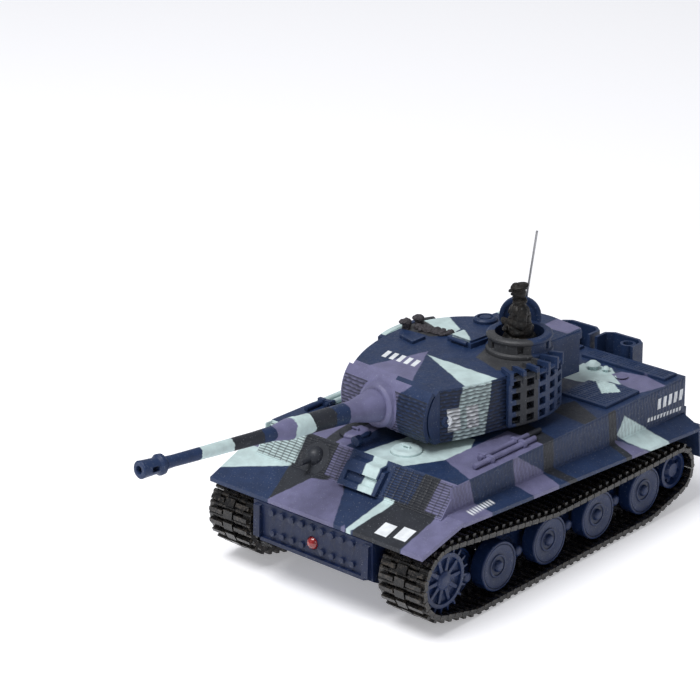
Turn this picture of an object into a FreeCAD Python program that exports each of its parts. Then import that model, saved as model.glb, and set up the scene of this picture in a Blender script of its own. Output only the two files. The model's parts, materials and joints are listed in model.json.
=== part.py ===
"""Small remote-controlled toy tank, about 1:72, as separate pieces, one STEP file each.

Millimetres. +Z is up, +X is the tank's left, -Y is its front, and the gun points forward.
The pieces are laid out in the hull's own frame: x = 0 is the centreline, y = 0 is midway
between the first and the last road wheel, and z = 0 is the ground.  The last step moves
them all along Y, so that the origin is under the middle of the whole tank.
"""
import FreeCAD
import Part
import math
import os

Vec = FreeCAD.Vector

# ---------------------------------------------------------------- driving dimensions
# running fits
shaft_clearance = 0.05          # radial, for every shaft in its bore
moving_gap = 0.3                # between pieces of different bodies

# hull casing
hull_wall = 1.2
hull_half_width = 22.3
deck_z = 24.65
sponson_floor_z = 17.3
sponson_floor_thickness = 0.9
rear_overhang = 14.875          # from the last road wheel's axle to the rear plate
plate_foot_setback = 1.8        # foot of the sloping driver's plate, behind the sprocket's axle
plate_foot_z = 19.5
plate_top_setback = 6.3
fender_tip_overhang = 6.8       # ahead of the sprocket's axle
fender_tip_z = 16.6
fender_tip_half_width = 25.5
fender_thickness = 0.8
skirt_front_setback = 3.3       # behind the sprocket's axle
skirt_half_width = 26.15
skirt_front_z = 19.5            # outer upper edge of the skirt, front end
skirt_rear_z = 15.1
skirt_thickness = 0.7
skirt_rise_front = 0.6          # how much higher the skirt is where it meets the wall
skirt_rise_rear = 2.0

# hull tub between the tracks
tub_half_width = 14.3
tub_wall = 0.9
tub_bottom_z = 4.8
tub_nose_overhang = 6.9         # ahead of the sprocket's axle
tub_nose_z = 8.4                # lower lip of the nose plate
tub_keel_front_overhang = 0.4
tub_keel_rear_overhang = 11.475  # behind the last road wheel's axle
tub_rear_foot_z = 9.0
nose_led_z = 11.4
nose_led_radius = 1.25
nose_bolt_pitch = 2.4
nose_half_width = 13.5
ball_gun_x = -9.4               # machine gun in the driver's plate
ball_gun_z = 21.6
ball_gun_radius = 1.9
lamp_x = -2.3

# running gear
axle_count = 8
axle_pitch = 7.15
axle_z = 6.5
axle_radius = 0.6
wheel_radius = 4.71
wheel_hub_radius = 1.3
wheel_hub_start_x = 14.9
inner_wheel_x = (16.6, 20.2)
inner_hub_end_x = 23.2
outer_wheel_x = (21.4, 24.4)
wheel_cap = 0.4
wheel_dish_depth = 0.8
wheel_dish_radius = 3.75
wheel_bolts = 8
sprocket_overhang = 8.075       # from the first road wheel's axle forward to the sprocket's
sprocket_z = 9.5
sprocket_teeth = 20
sprocket_ring_x = (23.6, 24.8)
sprocket_ring_radius = 5.05
sprocket_tooth_radius = 6.15
sprocket_tooth_thickness = 0.5
sprocket_drum_radius = 3.3
sprocket_spokes = 10
sprocket_shaft_radius = 0.9
idler_overhang = 9.0            # behind the last axle, before the links are counted
idler_z = 7.8
idler_radius = 3.6
idler_axle_radius = 0.8

# tracks
track_inner_x = 15.5
track_width = 10.4
link_pitch = 2.0
pin_z = 1.15                    # height of the hinge pins on the ground run
pin_radius = 0.26
knuckle_radius = 0.5
knuckle_gap = 0.1               # between the knuckles of two links, along the pin
track_rest_gap = 0.25           # between the top run and the wheels it lies over

# drive train, one set on each side
gear_module = 0.3
final_teeth = 18
reduction_small_teeth = 8
reduction_large_teeth = 26
motor_pinion_teeth = 8
final_angle = 35.0              # from the sprocket shaft up to the reduction gear
motor_angle = 8.0               # from the reduction gear up to the motor
gear_width = 1.0
final_gear_x = 12.0
reduction_gear_x = 10.6
motor_radius = 3.0
motor_inner_x = 0.8
motor_outer_x = 9.9
motor_shaft_radius = 0.4
reduction_pin_radius = 0.5

# turret
turret_y = 2.4                  # turret axis, from the hull's origin
turret_rest_yaw = -4.0          # degrees about +Z, the position the tank is built in
turret_roof_z = 36.2
turret_foot_z = 26.2
turret_wall = 1.2
turret_radius = 15.4
turret_front_y = -19.4
turret_front_left = 11.7
turret_front_right = 9.6
turret_bulge_y = -9.6
turret_bulge_left = 14.7
turret_bulge_right = 13.9
turret_collar_radius = 14.0
bearing_radius = 11.0           # turret spigot in the deck's hole
ring_module = 0.5
ring_teeth = 48
turret_pinion_teeth = 10
ring_gear_height = 1.2

# gun
trunnion_y = -15.5              # in the turret's frame
trunnion_z = 30.7
gun_rest_elevation = 4.5        # degrees above level, the position the tank is built in
mantlet_inner_radius = 7.05
mantlet_thickness = 0.75
mantlet_collar_depth = 0.9       # in front of the shield
gun_root_radius = 2.1
mantlet_top_angle = 40.0
mantlet_bottom_angle = -33.0
muzzle_distance = 62.6          # from the trunnion to the muzzle's face
sleeve_end_distance = 27.8      # from the trunnion to the step in the barrel
trunnion_pin_radius = 0.8

# cupola and roof
cupola_x = 7.7                  # in the turret's frame
cupola_y = 5.4
cupola_radius = 6.2
cupola_bore_radius = 4.5
cupola_height = 3.6
hatch_lid_radius = 3.9
hatch_lid_thickness = 0.8
hatch_lid_direction = 132.0     # degrees from +X, the side of the cupola where it stands open
port_x = 12.1                   # round port in the left wall, turret's frame
port_y = -18.1
port_z = 30.1
port_radius = 1.05
port_direction = -19.0
rack_inner_radius = 16.6
rack_thickness = 1.1
rack_step = 10.0                # degrees of turn for one column of the grids
rack_columns = 5
rack_rows = 4
left_rack_start = -22.0         # degrees from +X
right_rack_start = 156.0
bin_half_width = 8.8
bin_depth = 7.2
bin_foot_z = 27.6
bin_top_z = 36.0
antenna_radius = 0.22
antenna_top_z = 56.8

# deck and rear
tool_inset = 2.1                # outer rod's centre from the hull's side
deck_border = 1.4               # plain deck beside the grilles
fan_grille_width = 10.5
fan_grille_length = 10.3
fan_grille_setback = 12.7       # from the rear plate to the grille's rear edge
louvre_length = 4.0
louvre_setback = 0.9
exhaust_depth = 4.2
exhaust_pipe_x = 7.1
exhaust_pipe_radius = 1.55
exhaust_top_z = 27.3
exhaust_foot_z = 18.5
socket_bore_radius = 1.25       # charging plug
socket_shell_radius = 2.2
socket_depth = 6.0
socket_z = 12.0

# inside
battery_cell_radius = 4.1
battery_cell_count = 3
battery_front_y = -13.0
board_post_x = 10.5
board_post_radius = 0.8
screw_post_radius = 1.4
front_screw_x = 11.2
rear_screw_x = 9.5
board_z = 18.0
board_thickness = 1.0
switch_travel = 2.0
switch_knob_half = 1.0
switch_knob_width = 1.6

# ---------------------------------------------------------------- sizes that follow
axle_ys = [(i - (axle_count - 1) / 2) * axle_pitch for i in range(axle_count)]
switch_y = (axle_ys[6] + axle_ys[7]) / 2
sprocket_y = axle_ys[0] - sprocket_overhang
tub_nose_y = sprocket_y - tub_nose_overhang
tub_keel_front_y = sprocket_y - tub_keel_front_overhang
fender_tip_y = sprocket_y - fender_tip_overhang
plate_foot_y = sprocket_y + plate_foot_setback
plate_top_y = sprocket_y + plate_top_setback
skirt_front_y = sprocket_y + skirt_front_setback
hull_rear_y = axle_ys[-1] + rear_overhang
tub_keel_rear_y = axle_ys[-1] + tub_keel_rear_overhang
deck_underside_z = deck_z - hull_wall
cavity_half_width = hull_half_width - hull_wall
well_half_width = tub_half_width - tub_wall
tub_floor_z = tub_bottom_z + tub_wall
track_outer_x = track_inner_x + track_width
sprocket_pin_radius = link_pitch / (2 * math.sin(math.pi / sprocket_teeth))
arc_pitch = sprocket_pin_radius * 2 * math.pi / sprocket_teeth
wheel_pin_radius = axle_z - pin_z
idler_pin_radius = idler_radius + knuckle_radius + 0.3
top_run_z = axle_z + wheel_radius + knuckle_radius + track_rest_gap
plate_slope = (deck_z - plate_foot_z) / (plate_top_y - plate_foot_y)
bearing_hole_radius = bearing_radius + shaft_clearance
ring_pitch_radius = ring_module * ring_teeth / 2
ring_gear_top_z = deck_underside_z - moving_gap
turret_motor_foot_z = tub_floor_z + 4.0
turret_pinion_y = turret_y + ring_module * (ring_teeth + turret_pinion_teeth) / 2
battery_foot_z = axle_z + axle_radius + 0.4
battery_cell_ys = [battery_front_y + battery_cell_radius + i * (2 * battery_cell_radius + 0.15)
                   for i in range(battery_cell_count)]
reduction_distance = gear_module * (final_teeth + reduction_small_teeth) / 2
motor_distance = gear_module * (reduction_large_teeth + motor_pinion_teeth) / 2
reduction_y = sprocket_y + reduction_distance * math.cos(math.radians(final_angle))
reduction_z = sprocket_z + reduction_distance * math.sin(math.radians(final_angle))
motor_y = reduction_y + motor_distance * math.cos(math.radians(motor_angle))
motor_z = reduction_z + motor_distance * math.sin(math.radians(motor_angle))


# ---------------------------------------------------------------- shape helpers
def box(x0, x1, y0, y1, z0, z1):
    return Part.makeBox(x1 - x0, y1 - y0, z1 - z0, Vec(x0, y0, z0))


def rod_x(x0, x1, y, z, radius):
    return Part.makeCylinder(radius, x1 - x0, Vec(x0, y, z), Vec(1, 0, 0))


def rod_y(y0, y1, x, z, radius):
    return Part.makeCylinder(radius, y1 - y0, Vec(x, y0, z), Vec(0, 1, 0))


def rod_z(z0, z1, x, y, radius):
    return Part.makeCylinder(radius, z1 - z0, Vec(x, y, z0), Vec(0, 0, 1))


def join(first, *others):
    return first.fuse(list(others)).removeSplitter() if others else first


def cut(shape, *tools):
    return shape.cut(list(tools))


def pair(shape):
    """A piece and its mirror image on the other side of the tank."""
    return Part.makeCompound([shape, mirrored(shape)])


def mirrored(shape):
    return shape.mirror(Vec(0, 0, 0), Vec(1, 0, 0))


def side_prism(points, x0, x1):
    """Extrude a closed outline, given as (y, z) points, from x0 to x1."""
    wire = Part.makePolygon([Vec(x0, y, z) for y, z in points + points[:1]])
    return Part.Face(wire).extrude(Vec(x1 - x0, 0, 0))


def plan_prism(points, z0, z1):
    """Extrude a closed outline, given as (x, y) points, from z0 to z1."""
    wire = Part.makePolygon([Vec(x, y, z0) for x, y in points + points[:1]])
    return Part.Face(wire).extrude(Vec(0, 0, z1 - z0))


def section_loft(sections):
    """Straight-sided solid through closed outlines of (x, y, z) points."""
    wires = [Part.makePolygon([Vec(*p) for p in s + s[:1]]) for s in sections]
    return Part.makeLoft(wires, True, True)


def turned_x(profile, y, z):
    """Solid of revolution about an axis along X; profile is (x, radius) points."""
    points = [Vec(x, y, z + r) for x, r in profile]
    face = Part.Face(Part.makePolygon(points + points[:1]))
    return face.revolve(Vec(0, y, z), Vec(1, 0, 0), 360)


def turned_y(profile, x, z):
    """Solid of revolution about an axis along Y; profile is (y, radius) points."""
    points = [Vec(x, y, z + r) for y, r in profile]
    face = Part.Face(Part.makePolygon(points + points[:1]))
    return face.revolve(Vec(x, 0, z), Vec(0, 1, 0), 360)


def turned_z(profile, x, y):
    """Solid of revolution about an axis along Z; profile is (z, radius) points."""
    points = [Vec(x + r, y, z) for z, r in profile]
    face = Part.Face(Part.makePolygon(points + points[:1]))
    return face.revolve(Vec(x, y, 0), Vec(0, 0, 1), 360)


def arc_band(inner, outer, start, end, z0, z1):
    """Curved wall about the Z axis, between two angles in degrees from +X."""
    def at(radius, angle):
        a = math.radians(angle)
        return Vec(radius * math.cos(a), radius * math.sin(a), z0)
    middle = (start + end) / 2
    edges = [Part.Arc(at(outer, start), at(outer, middle), at(outer, end)).toShape(),
             Part.LineSegment(at(outer, end), at(inner, end)).toShape(),
             Part.Arc(at(inner, end), at(inner, middle), at(inner, start)).toShape(),
             Part.LineSegment(at(inner, start), at(outer, start)).toShape()]
    return Part.Face(Part.Wire(edges)).extrude(Vec(0, 0, z1 - z0))


# ---------------------------------------------------------------- gears
def gear_outline(teeth, module, first_tooth):
    """Points of an involute gear, thin-toothed so that it runs with backlash.

    first_tooth is the angle in degrees at which one tooth is centred.
    """
    pitch_radius = module * teeth / 2
    base_radius = pitch_radius * math.cos(math.radians(20))
    tip_radius = pitch_radius + 0.85 * module
    root_radius = pitch_radius - 1.25 * module
    half_tooth = 0.72 * math.pi / (2 * teeth)

    def involute(radius):
        if radius <= base_radius:
            return 0.0
        t = math.sqrt((radius / base_radius) ** 2 - 1)
        return t - math.atan(t)

    radii = [root_radius, max(base_radius, root_radius), pitch_radius, tip_radius]
    flank = [(r, half_tooth + involute(pitch_radius) - involute(r)) for r in radii]
    points = []
    for tooth in range(teeth):
        centre = math.radians(first_tooth) + 2 * math.pi * tooth / teeth
        points += [(r, centre - a) for r, a in flank]
        points += [(r, centre + a) for r, a in reversed(flank)]
    return [(r * math.cos(a), r * math.sin(a)) for r, a in points]


def gear_x(teeth, module, first_tooth, x0, y, z, bore):
    """A spur gear about an axis along X; angles run from +Y towards +Z."""
    outline = [(y + u, z + v) for u, v in gear_outline(teeth, module, first_tooth)]
    gear = side_prism(outline, x0, x0 + gear_width)
    return cut(gear, rod_x(x0, x0 + gear_width, y, z, bore)) if bore else gear


# ---------------------------------------------------------------- hull casing
def front_of_plate(z, inset):
    """Y of the driver's plate at a height, moved back by an inset square to it."""
    shift = inset * math.hypot(1, plate_slope) / plate_slope
    return plate_foot_y + (z - plate_foot_z) / plate_slope + shift


def superstructure_profile(inset, floor_z, roof_z):
    foot_y = plate_foot_y + inset
    return [(foot_y, floor_z), (foot_y, plate_foot_z - inset * 0.3),
            (front_of_plate(roof_z, inset), roof_z),
            (hull_rear_y - inset, roof_z), (hull_rear_y - inset, floor_z)]


def screw_places():
    front_y = (axle_ys[2] + axle_ys[3]) / 2
    rear_y = (axle_ys[-1] + idler_y) / 2
    return [(front_screw_x, front_y), (-front_screw_x, front_y), (rear_screw_x, rear_y), (-rear_screw_x, rear_y)]


def upper_hull():
    outer = side_prism(superstructure_profile(0, sponson_floor_z, deck_z),
                       -hull_half_width, hull_half_width)
    floor_top = sponson_floor_z + sponson_floor_thickness
    cavity = side_prism(superstructure_profile(hull_wall, floor_top, deck_underside_z),
                        -cavity_half_width, cavity_half_width)
    well = box(-well_half_width, well_half_width, plate_foot_y + hull_wall,
               hull_rear_y - hull_wall, sponson_floor_z - 1, floor_top + 1)
    fender = section_loft([
        [(-w, y, z - fender_thickness), (w, y, z - fender_thickness), (w, y, z), (-w, y, z)]
        for w, y, z in [(fender_tip_half_width, fender_tip_y, fender_tip_z),
                        (skirt_half_width, skirt_front_y, skirt_front_z + 0.35)]])
    body = cut(join(outer, fender), cavity, well)
    skirt = section_loft([
        [(hull_half_width - 0.3, y, z + rise), (skirt_half_width, y, z),
         (skirt_half_width, y, z - skirt_thickness),
         (hull_half_width - 0.3, y, z + rise - skirt_thickness)]
        for y, z, rise in [(skirt_front_y, skirt_front_z, skirt_rise_front),
                           (hull_rear_y, skirt_rear_z, skirt_rise_rear)]])
    posts = [rod_z(tub_floor_z + 0.1, deck_underside_z + 0.2, x, y, screw_post_radius)
             for x, y in screw_places()]
    body = join(body, skirt, mirrored(skirt), *posts)
    holes = [rod_z(tub_floor_z, tub_floor_z + 7.0, x, y, 0.5) for x, y in screw_places()]
    bearing = rod_z(deck_underside_z - 1, deck_z + 1, 0, turret_y, bearing_hole_radius)
    hatch_seats = [rod_z(deck_z - 0.4, deck_z + 1, x, y, r) for x, y, r in hatch_places()]
    return cut(body, bearing, *(holes + hatch_seats))


def hatch_places():
    """Round covers on the front deck: centre x, centre y, radius of the seat."""
    return [(5.9, -21.6, 2.9), (-6.4, -21.6, 2.9)]


def tub_outline(inset):
    nose_y = tub_nose_y + inset
    glacis_y = plate_foot_y - 0.1
    glacis_z = fender_tip_z - fender_thickness + (glacis_y - fender_tip_y) * 0.325
    return [(nose_y, tub_nose_z + inset), (nose_y, fender_tip_z - fender_thickness - 0.15),
            (glacis_y, glacis_z - 0.1), (glacis_y, sponson_floor_z - 0.05),
            (hull_rear_y - inset, sponson_floor_z - 0.05),
            (hull_rear_y - inset, tub_rear_foot_z + inset * 0.4),
            (tub_keel_rear_y - inset * 0.4, tub_bottom_z + inset),
            (tub_keel_front_y + inset * 0.4, tub_bottom_z + inset)]


def lower_hull():
    """Tub with the nose plate, bored for the axles, the sprocket shafts and the LED."""
    outer = side_prism(tub_outline(0), -tub_half_width, tub_half_width)
    inner_points = tub_outline(tub_wall)
    inner_points[1] = (inner_points[1][0], sponson_floor_z + 3)
    inner_points[2] = (plate_foot_y, sponson_floor_z + 3)
    inner_points[3] = (plate_foot_y + 0.1, sponson_floor_z + 3)
    inner_points[4] = (hull_rear_y - tub_wall, sponson_floor_z + 3)
    tub = cut(outer, side_prism(inner_points, -well_half_width, well_half_width))
    across = tub_half_width + 1
    bores = [rod_x(-across, across, y, axle_z, axle_radius) for y in axle_ys]
    bores.append(rod_x(-across, across, sprocket_y, sprocket_z,
                       sprocket_shaft_radius + shaft_clearance))
    bores.append(rod_x(-across, across, idler_y, idler_z, idler_axle_radius))
    bores.append(rod_y(tub_nose_y - 3, tub_nose_y + 3, 0, nose_led_z, nose_led_radius))
    bores.append(rod_y(hull_rear_y - 3, hull_rear_y + 1, 0, socket_z, socket_shell_radius))
    bores += [rod_z(tub_bottom_z - 1, tub_floor_z + 1, x, y, 0.65) for x, y in screw_places()]
    bores += [rod_z(tub_bottom_z - 1, tub_bottom_z + 0.6, x, y, 1.15)
              for x, y in screw_places()]
    slot_half = switch_travel / 2 + switch_knob_half + 0.3
    bores.append(box(-slot_half, slot_half, switch_y - switch_knob_width / 2 - 0.2,
                     switch_y + switch_knob_width / 2 + 0.2, tub_bottom_z - 1, tub_floor_z + 1))
    ribs = [box(-7.5, 7.5, y - 0.5, y + 0.5, tub_floor_z - 0.1, battery_foot_z) for y in battery_cell_ys]
    posts = [rod_z(tub_floor_z - 0.1, board_z, x, y, board_post_radius) for x, y in board_post_places()]
    return cut(join(tub, *(nose_details() + ribs + posts)), *bores)


def board_post_places():
    """Pillars that carry the receiver board, between the axle rods."""
    ys = ((axle_ys[1] + axle_ys[2]) / 2 - 0.7, (axle_ys[4] + axle_ys[5]) / 2)
    return [(side * board_post_x, y) for side in (1, -1) for y in ys]


def nose_details():
    """Raised cheeks, two rows of bolt heads, tow eyes and the lip of the nose plate."""
    cheek = side_prism([(tub_nose_y + 1, tub_nose_z - 0.4), (tub_nose_y - 0.9, tub_nose_z + 0.6),
                        (tub_nose_y - 0.6, fender_tip_z - 1.6), (tub_nose_y + 1, fender_tip_z - 1.3)],
                       nose_half_width - 1.2, nose_half_width + 0.3)
    pieces = [cheek, mirrored(cheek)]
    columns = int((nose_half_width - 2.2) / nose_bolt_pitch)
    for i in range(-columns, columns + 1):
        x = i * nose_bolt_pitch
        pieces.append(rod_y(tub_nose_y - 0.55, tub_nose_y + 0.2, x, tub_nose_z + 6.0, 0.65))
        if abs(x) > nose_led_radius + 1:
            pieces.append(rod_y(tub_nose_y - 0.45, tub_nose_y + 0.2, x, tub_nose_z + 2.0, 0.6))
    lip = side_prism([(tub_nose_y + 0.8, tub_nose_z - 0.5), (tub_nose_y - 0.5, tub_nose_z - 0.1),
                      (tub_nose_y - 0.5, tub_nose_z + 0.6), (tub_nose_y + 0.8, tub_nose_z + 0.8)],
                     -nose_half_width + 1, nose_half_width - 1)
    return pieces + [lip]


# ---------------------------------------------------------------- fittings on the hull
def nose_led():
    """Red light: a domed lens with a flange behind the nose plate."""
    front = tub_nose_y + 0.4
    body = rod_y(front, tub_nose_y + 2.4, 0, nose_led_z, nose_led_radius)
    flange = rod_y(tub_nose_y + tub_wall, tub_nose_y + 2.2, 0, nose_led_z, nose_led_radius + 0.3)
    dome = Part.makeSphere(nose_led_radius, Vec(0, front, nose_led_z))
    return join(body, flange, dome)


def front_plate_fittings():
    """Driver's visor, ball machine gun and headlamp on the sloping front."""
    visor = join(*[plate_block(x0, x1, z0, z1, proud) for x0, x1, z0, z1, proud in [
        (-1.4, 7.6, 19.9, 20.7, 0.9), (-1.4, -0.4, 20.7, 23.3, 0.9), (6.6, 7.6, 20.7, 23.3, 0.9),
        (-0.4, 6.6, 20.7, 22.3, 0.35), (-0.6, 6.8, 22.3, 23.9, 1.2)]])
    gun_y = front_of_plate(ball_gun_z, 0)
    ball = Part.makeSphere(ball_gun_radius, Vec(ball_gun_x, gun_y + 0.6, ball_gun_z))
    barrel = rod_y(gun_y - 3.4, gun_y, ball_gun_x, ball_gun_z, 0.55)
    behind = side_prism([(front_of_plate(z, 0.0), z) for z in (plate_foot_z, deck_z)]
                        + [(hull_rear_y, deck_z), (hull_rear_y, plate_foot_z)], -20, 20)
    machine_gun = cut(join(ball, barrel), behind)
    lamp_y = plate_top_y + 1.6
    lamp = join(rod_z(deck_z, deck_z + 0.8, lamp_x, lamp_y, 0.5),
                turned_y([(lamp_y - 1.0, 0), (lamp_y - 1.0, 0.95), (lamp_y + 0.3, 0.9),
                          (lamp_y + 0.9, 0.35), (lamp_y + 0.9, 0)], lamp_x, deck_z + 1.0))
    return Part.makeCompound([cut(visor, behind), machine_gun, lamp])


def plate_block(x0, x1, z0, z1, proud):
    """A block standing proud of the driver's plate."""
    return side_prism([(front_of_plate(z0, -proud), z0), (front_of_plate(z1, -proud), z1),
                       (front_of_plate(z1, 0.05), z1), (front_of_plate(z0, 0.05), z0)], x0, x1)


def deck_hatches():
    """Round hatch lids in the seats of the front deck, each with a grab handle."""
    lids = []
    for x, y, radius in hatch_places():
        lid = turned_z([(deck_z - 0.4, 0), (deck_z - 0.4, radius - 0.05), (deck_z + 0.35, radius - 0.05),
                        (deck_z + 0.7, radius - 0.6), (deck_z + 0.7, 0)], x, y)
        handle = cut(box(x - 0.9, x + 0.9, y - 0.25, y + 0.25, deck_z + 0.6, deck_z + 1.2),
                     box(x - 0.5, x + 0.5, y - 0.3, y + 0.3, deck_z + 0.7, deck_z + 0.95))
        lids.append(join(lid, handle))
    return Part.makeCompound(lids)


def grille_panel(x0, x1, y0, y1, bars, cross_bars):
    """Louvred frame that lies on the engine deck; the slots run across it."""
    top = deck_z + 0.55
    panel = box(x0, x1, y0, y1, deck_z, top)
    rim = 0.6
    pitch_y = (y1 - y0 - 2 * rim) / bars
    pitch_x = (x1 - x0 - 2 * rim) / cross_bars
    slots = []
    for i in range(bars):
        for j in range(cross_bars):
            sx = x0 + rim + j * pitch_x
            sy = y0 + rim + i * pitch_y
            slots.append(box(sx + 0.2, sx + pitch_x - 0.2, sy + 0.25, sy + pitch_y - 0.25,
                             deck_z + 0.12, top + 1))
    return cut(panel, *slots)


def engine_grilles():
    outer_x = hull_half_width - deck_border
    fan_rear_y = hull_rear_y - fan_grille_setback
    left = grille_panel(outer_x - fan_grille_width, outer_x, fan_rear_y - fan_grille_length, fan_rear_y, 12, 4)
    louvre_rear_y = hull_rear_y - louvre_setback
    rear = grille_panel(1.2, outer_x, louvre_rear_y - louvre_length, louvre_rear_y, 4, 5)
    return Part.makeCompound([left, mirrored(left), rear, mirrored(rear)])


def deck_vent_caps():
    """Mushroom caps, a filler knob and the square panel of the engine deck."""
    caps = []
    for x, ahead, radius, height in [(6.6, 8.3, 1.5, 1.5), (-6.6, 8.3, 1.5, 1.5), (0.0, 10.7, 1.2, 1.1),
                                     (9.4, 7.9, 0.8, 1.0), (13.6, 8.6, 1.3, 0.6), (-13.6, 8.6, 1.3, 0.6)]:
        y = hull_rear_y - ahead
        caps.append(turned_z([(deck_z, 0), (deck_z, radius * 0.6), (deck_z + height * 0.5, radius * 0.6),
                              (deck_z + height * 0.55, radius), (deck_z + height, radius * 0.45),
                              (deck_z + height, 0)], x, y))
    return Part.makeCompound(caps)


def deck_tools():
    """Two rods with clamps along each edge of the deck."""
    tools = []
    for side in (1, -1):
        x = side * (hull_half_width - tool_inset)
        for offset in (0.0, 1.7):
            at = x - side * offset
            rod = rod_y(-20.0 + 2 * offset, -3.0 + 2 * offset, at, deck_z + 0.55, 0.5)
            clamps = [box(at - 0.75, at + 0.75, y, y + 0.8, deck_z, deck_z + 1.25)
                      for y in (-16.0, -7.0)]
            tools.append(join(rod, *clamps))
    return Part.makeCompound(tools)


def rear_mudflaps():
    top_z = skirt_rear_z + 0.4
    flap = side_prism([(hull_rear_y + 0.02, top_z), (hull_rear_y + 0.62, top_z),
                       (hull_rear_y + 1.5, 8.6), (hull_rear_y + 0.9, 8.6)], track_inner_x + 0.6,
                      track_outer_x - 0.3)
    tab = box(track_inner_x + 0.6, hull_half_width, hull_rear_y, hull_rear_y + 0.6, top_z - 0.2,
              sponson_floor_z + 1.0)
    return pair(join(flap, tab))


def exhaust_shield_outline(grow):
    bend_y = hull_rear_y + exhaust_depth - 1.1
    back_y = hull_rear_y + exhaust_depth
    return [(0.9 - grow, hull_rear_y), (0.9 - grow, bend_y + grow * 0.5), (2.2, back_y + grow),
            (8.2, back_y + grow), (9.5 + grow, bend_y + grow * 0.5), (9.5 + grow, hull_rear_y)]


def exhausts():
    """Two bent sheet shields, each around an exhaust pipe that stands on the rear plate."""
    shield = cut(plan_prism(exhaust_shield_outline(0.3), exhaust_foot_z, exhaust_top_z),
                 plan_prism([(x, y - 0.01 if y > hull_rear_y else y - 1)
                             for x, y in exhaust_shield_outline(-0.3)],
                            exhaust_foot_z - 1, exhaust_top_z + 1))
    pipe_y = hull_rear_y + exhaust_depth / 2
    bracket = box(exhaust_pipe_x - 1.2, exhaust_pipe_x + 1.2, hull_rear_y, pipe_y, exhaust_foot_z, exhaust_foot_z + 2.0)
    pipe = cut(join(rod_z(exhaust_foot_z, exhaust_top_z - 0.4, exhaust_pipe_x, pipe_y, exhaust_pipe_radius), bracket),
               rod_z(exhaust_foot_z + 3, exhaust_top_z + 1, exhaust_pipe_x, pipe_y, exhaust_pipe_radius - 0.55))
    return Part.makeCompound([shield, mirrored(shield), pipe, mirrored(pipe)])


# ---------------------------------------------------------------- tracks
def belt_route(rear_y):
    """Straight runs and arcs of the pins' line, counter-clockwise seen from the tank's left.

    Each circle is (y, z, radius); a radius of 0 is a place where the slack top run
    changes direction.  The interior is on the left of the direction of travel, which
    is to the rear on the ground.
    """
    circles = [(sprocket_y, sprocket_z, sprocket_pin_radius),
               (axle_ys[0], axle_z, wheel_pin_radius),
               (axle_ys[-1], axle_z, wheel_pin_radius),
               (rear_y, idler_z, idler_pin_radius),
               (axle_ys[7], top_run_z, 0.0),
               (axle_ys[3], top_run_z, 0.0)]
    lines = []
    for (y0, z0, r0), (y1, z1, r1) in zip(circles, circles[1:] + circles[:1]):
        span = math.hypot(y1 - y0, z1 - z0)
        ey, ez = (y1 - y0) / span, (z1 - z0) / span
        along = (r0 - r1) / span
        out = math.sqrt(1 - along * along)
        ny, nz = ey * along + ez * out, ez * along - ey * out
        lines.append(((y0 + r0 * ny, z0 + r0 * nz), (y1 + r1 * ny, z1 + r1 * nz),
                      math.atan2(nz, ny)))
    route = []
    for i, (start, end, normal) in enumerate(lines):
        y, z, radius = circles[i]
        arrive = lines[i - 1][2]
        if radius > 0:
            route.append(("arc", y, z, radius, arrive, (normal - arrive) % (2 * math.pi)))
        route.append(("line", start, end))
    return route


def piece_length(piece):
    if piece[0] == "arc":
        return piece[3] * piece[5]
    return math.dist(piece[1], piece[2])


def route_length(rear_y):
    return sum(piece_length(piece) for piece in belt_route(rear_y))


def closing_idler_y():
    """Where the idler's axle stands so that the links close the loop without slack."""
    low, high = axle_ys[-1] + 2, axle_ys[-1] + 30
    for _ in range(60):
        middle = (low + high) / 2
        if route_length(middle) < track_links * arc_pitch:
            low = middle
        else:
            high = middle
    return (low + high) / 2


track_links = round(route_length(axle_ys[-1] + idler_overhang) / arc_pitch)
idler_y = closing_idler_y()


def point_on_route(distance):
    route = belt_route(idler_y)
    distance %= sum(piece_length(piece) for piece in route)
    for piece in route:
        length = piece_length(piece)
        if distance <= length:
            break
        distance -= length
    if piece[0] == "arc":
        _, y, z, radius, start, _ = piece
        angle = start + distance / radius
        return (y + radius * math.cos(angle), z + radius * math.sin(angle))
    share = distance / length
    return tuple(a + (b - a) * share for a, b in zip(piece[1], piece[2]))


def pin_places():
    """(y, z) of every hinge pin; one pin is straight ahead of the sprocket's axle."""
    first = belt_route(idler_y)[0]
    start = (math.pi - first[4]) % (2 * math.pi) * first[3]
    return [point_on_route(start + i * arc_pitch) for i in range(track_links)]


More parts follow.
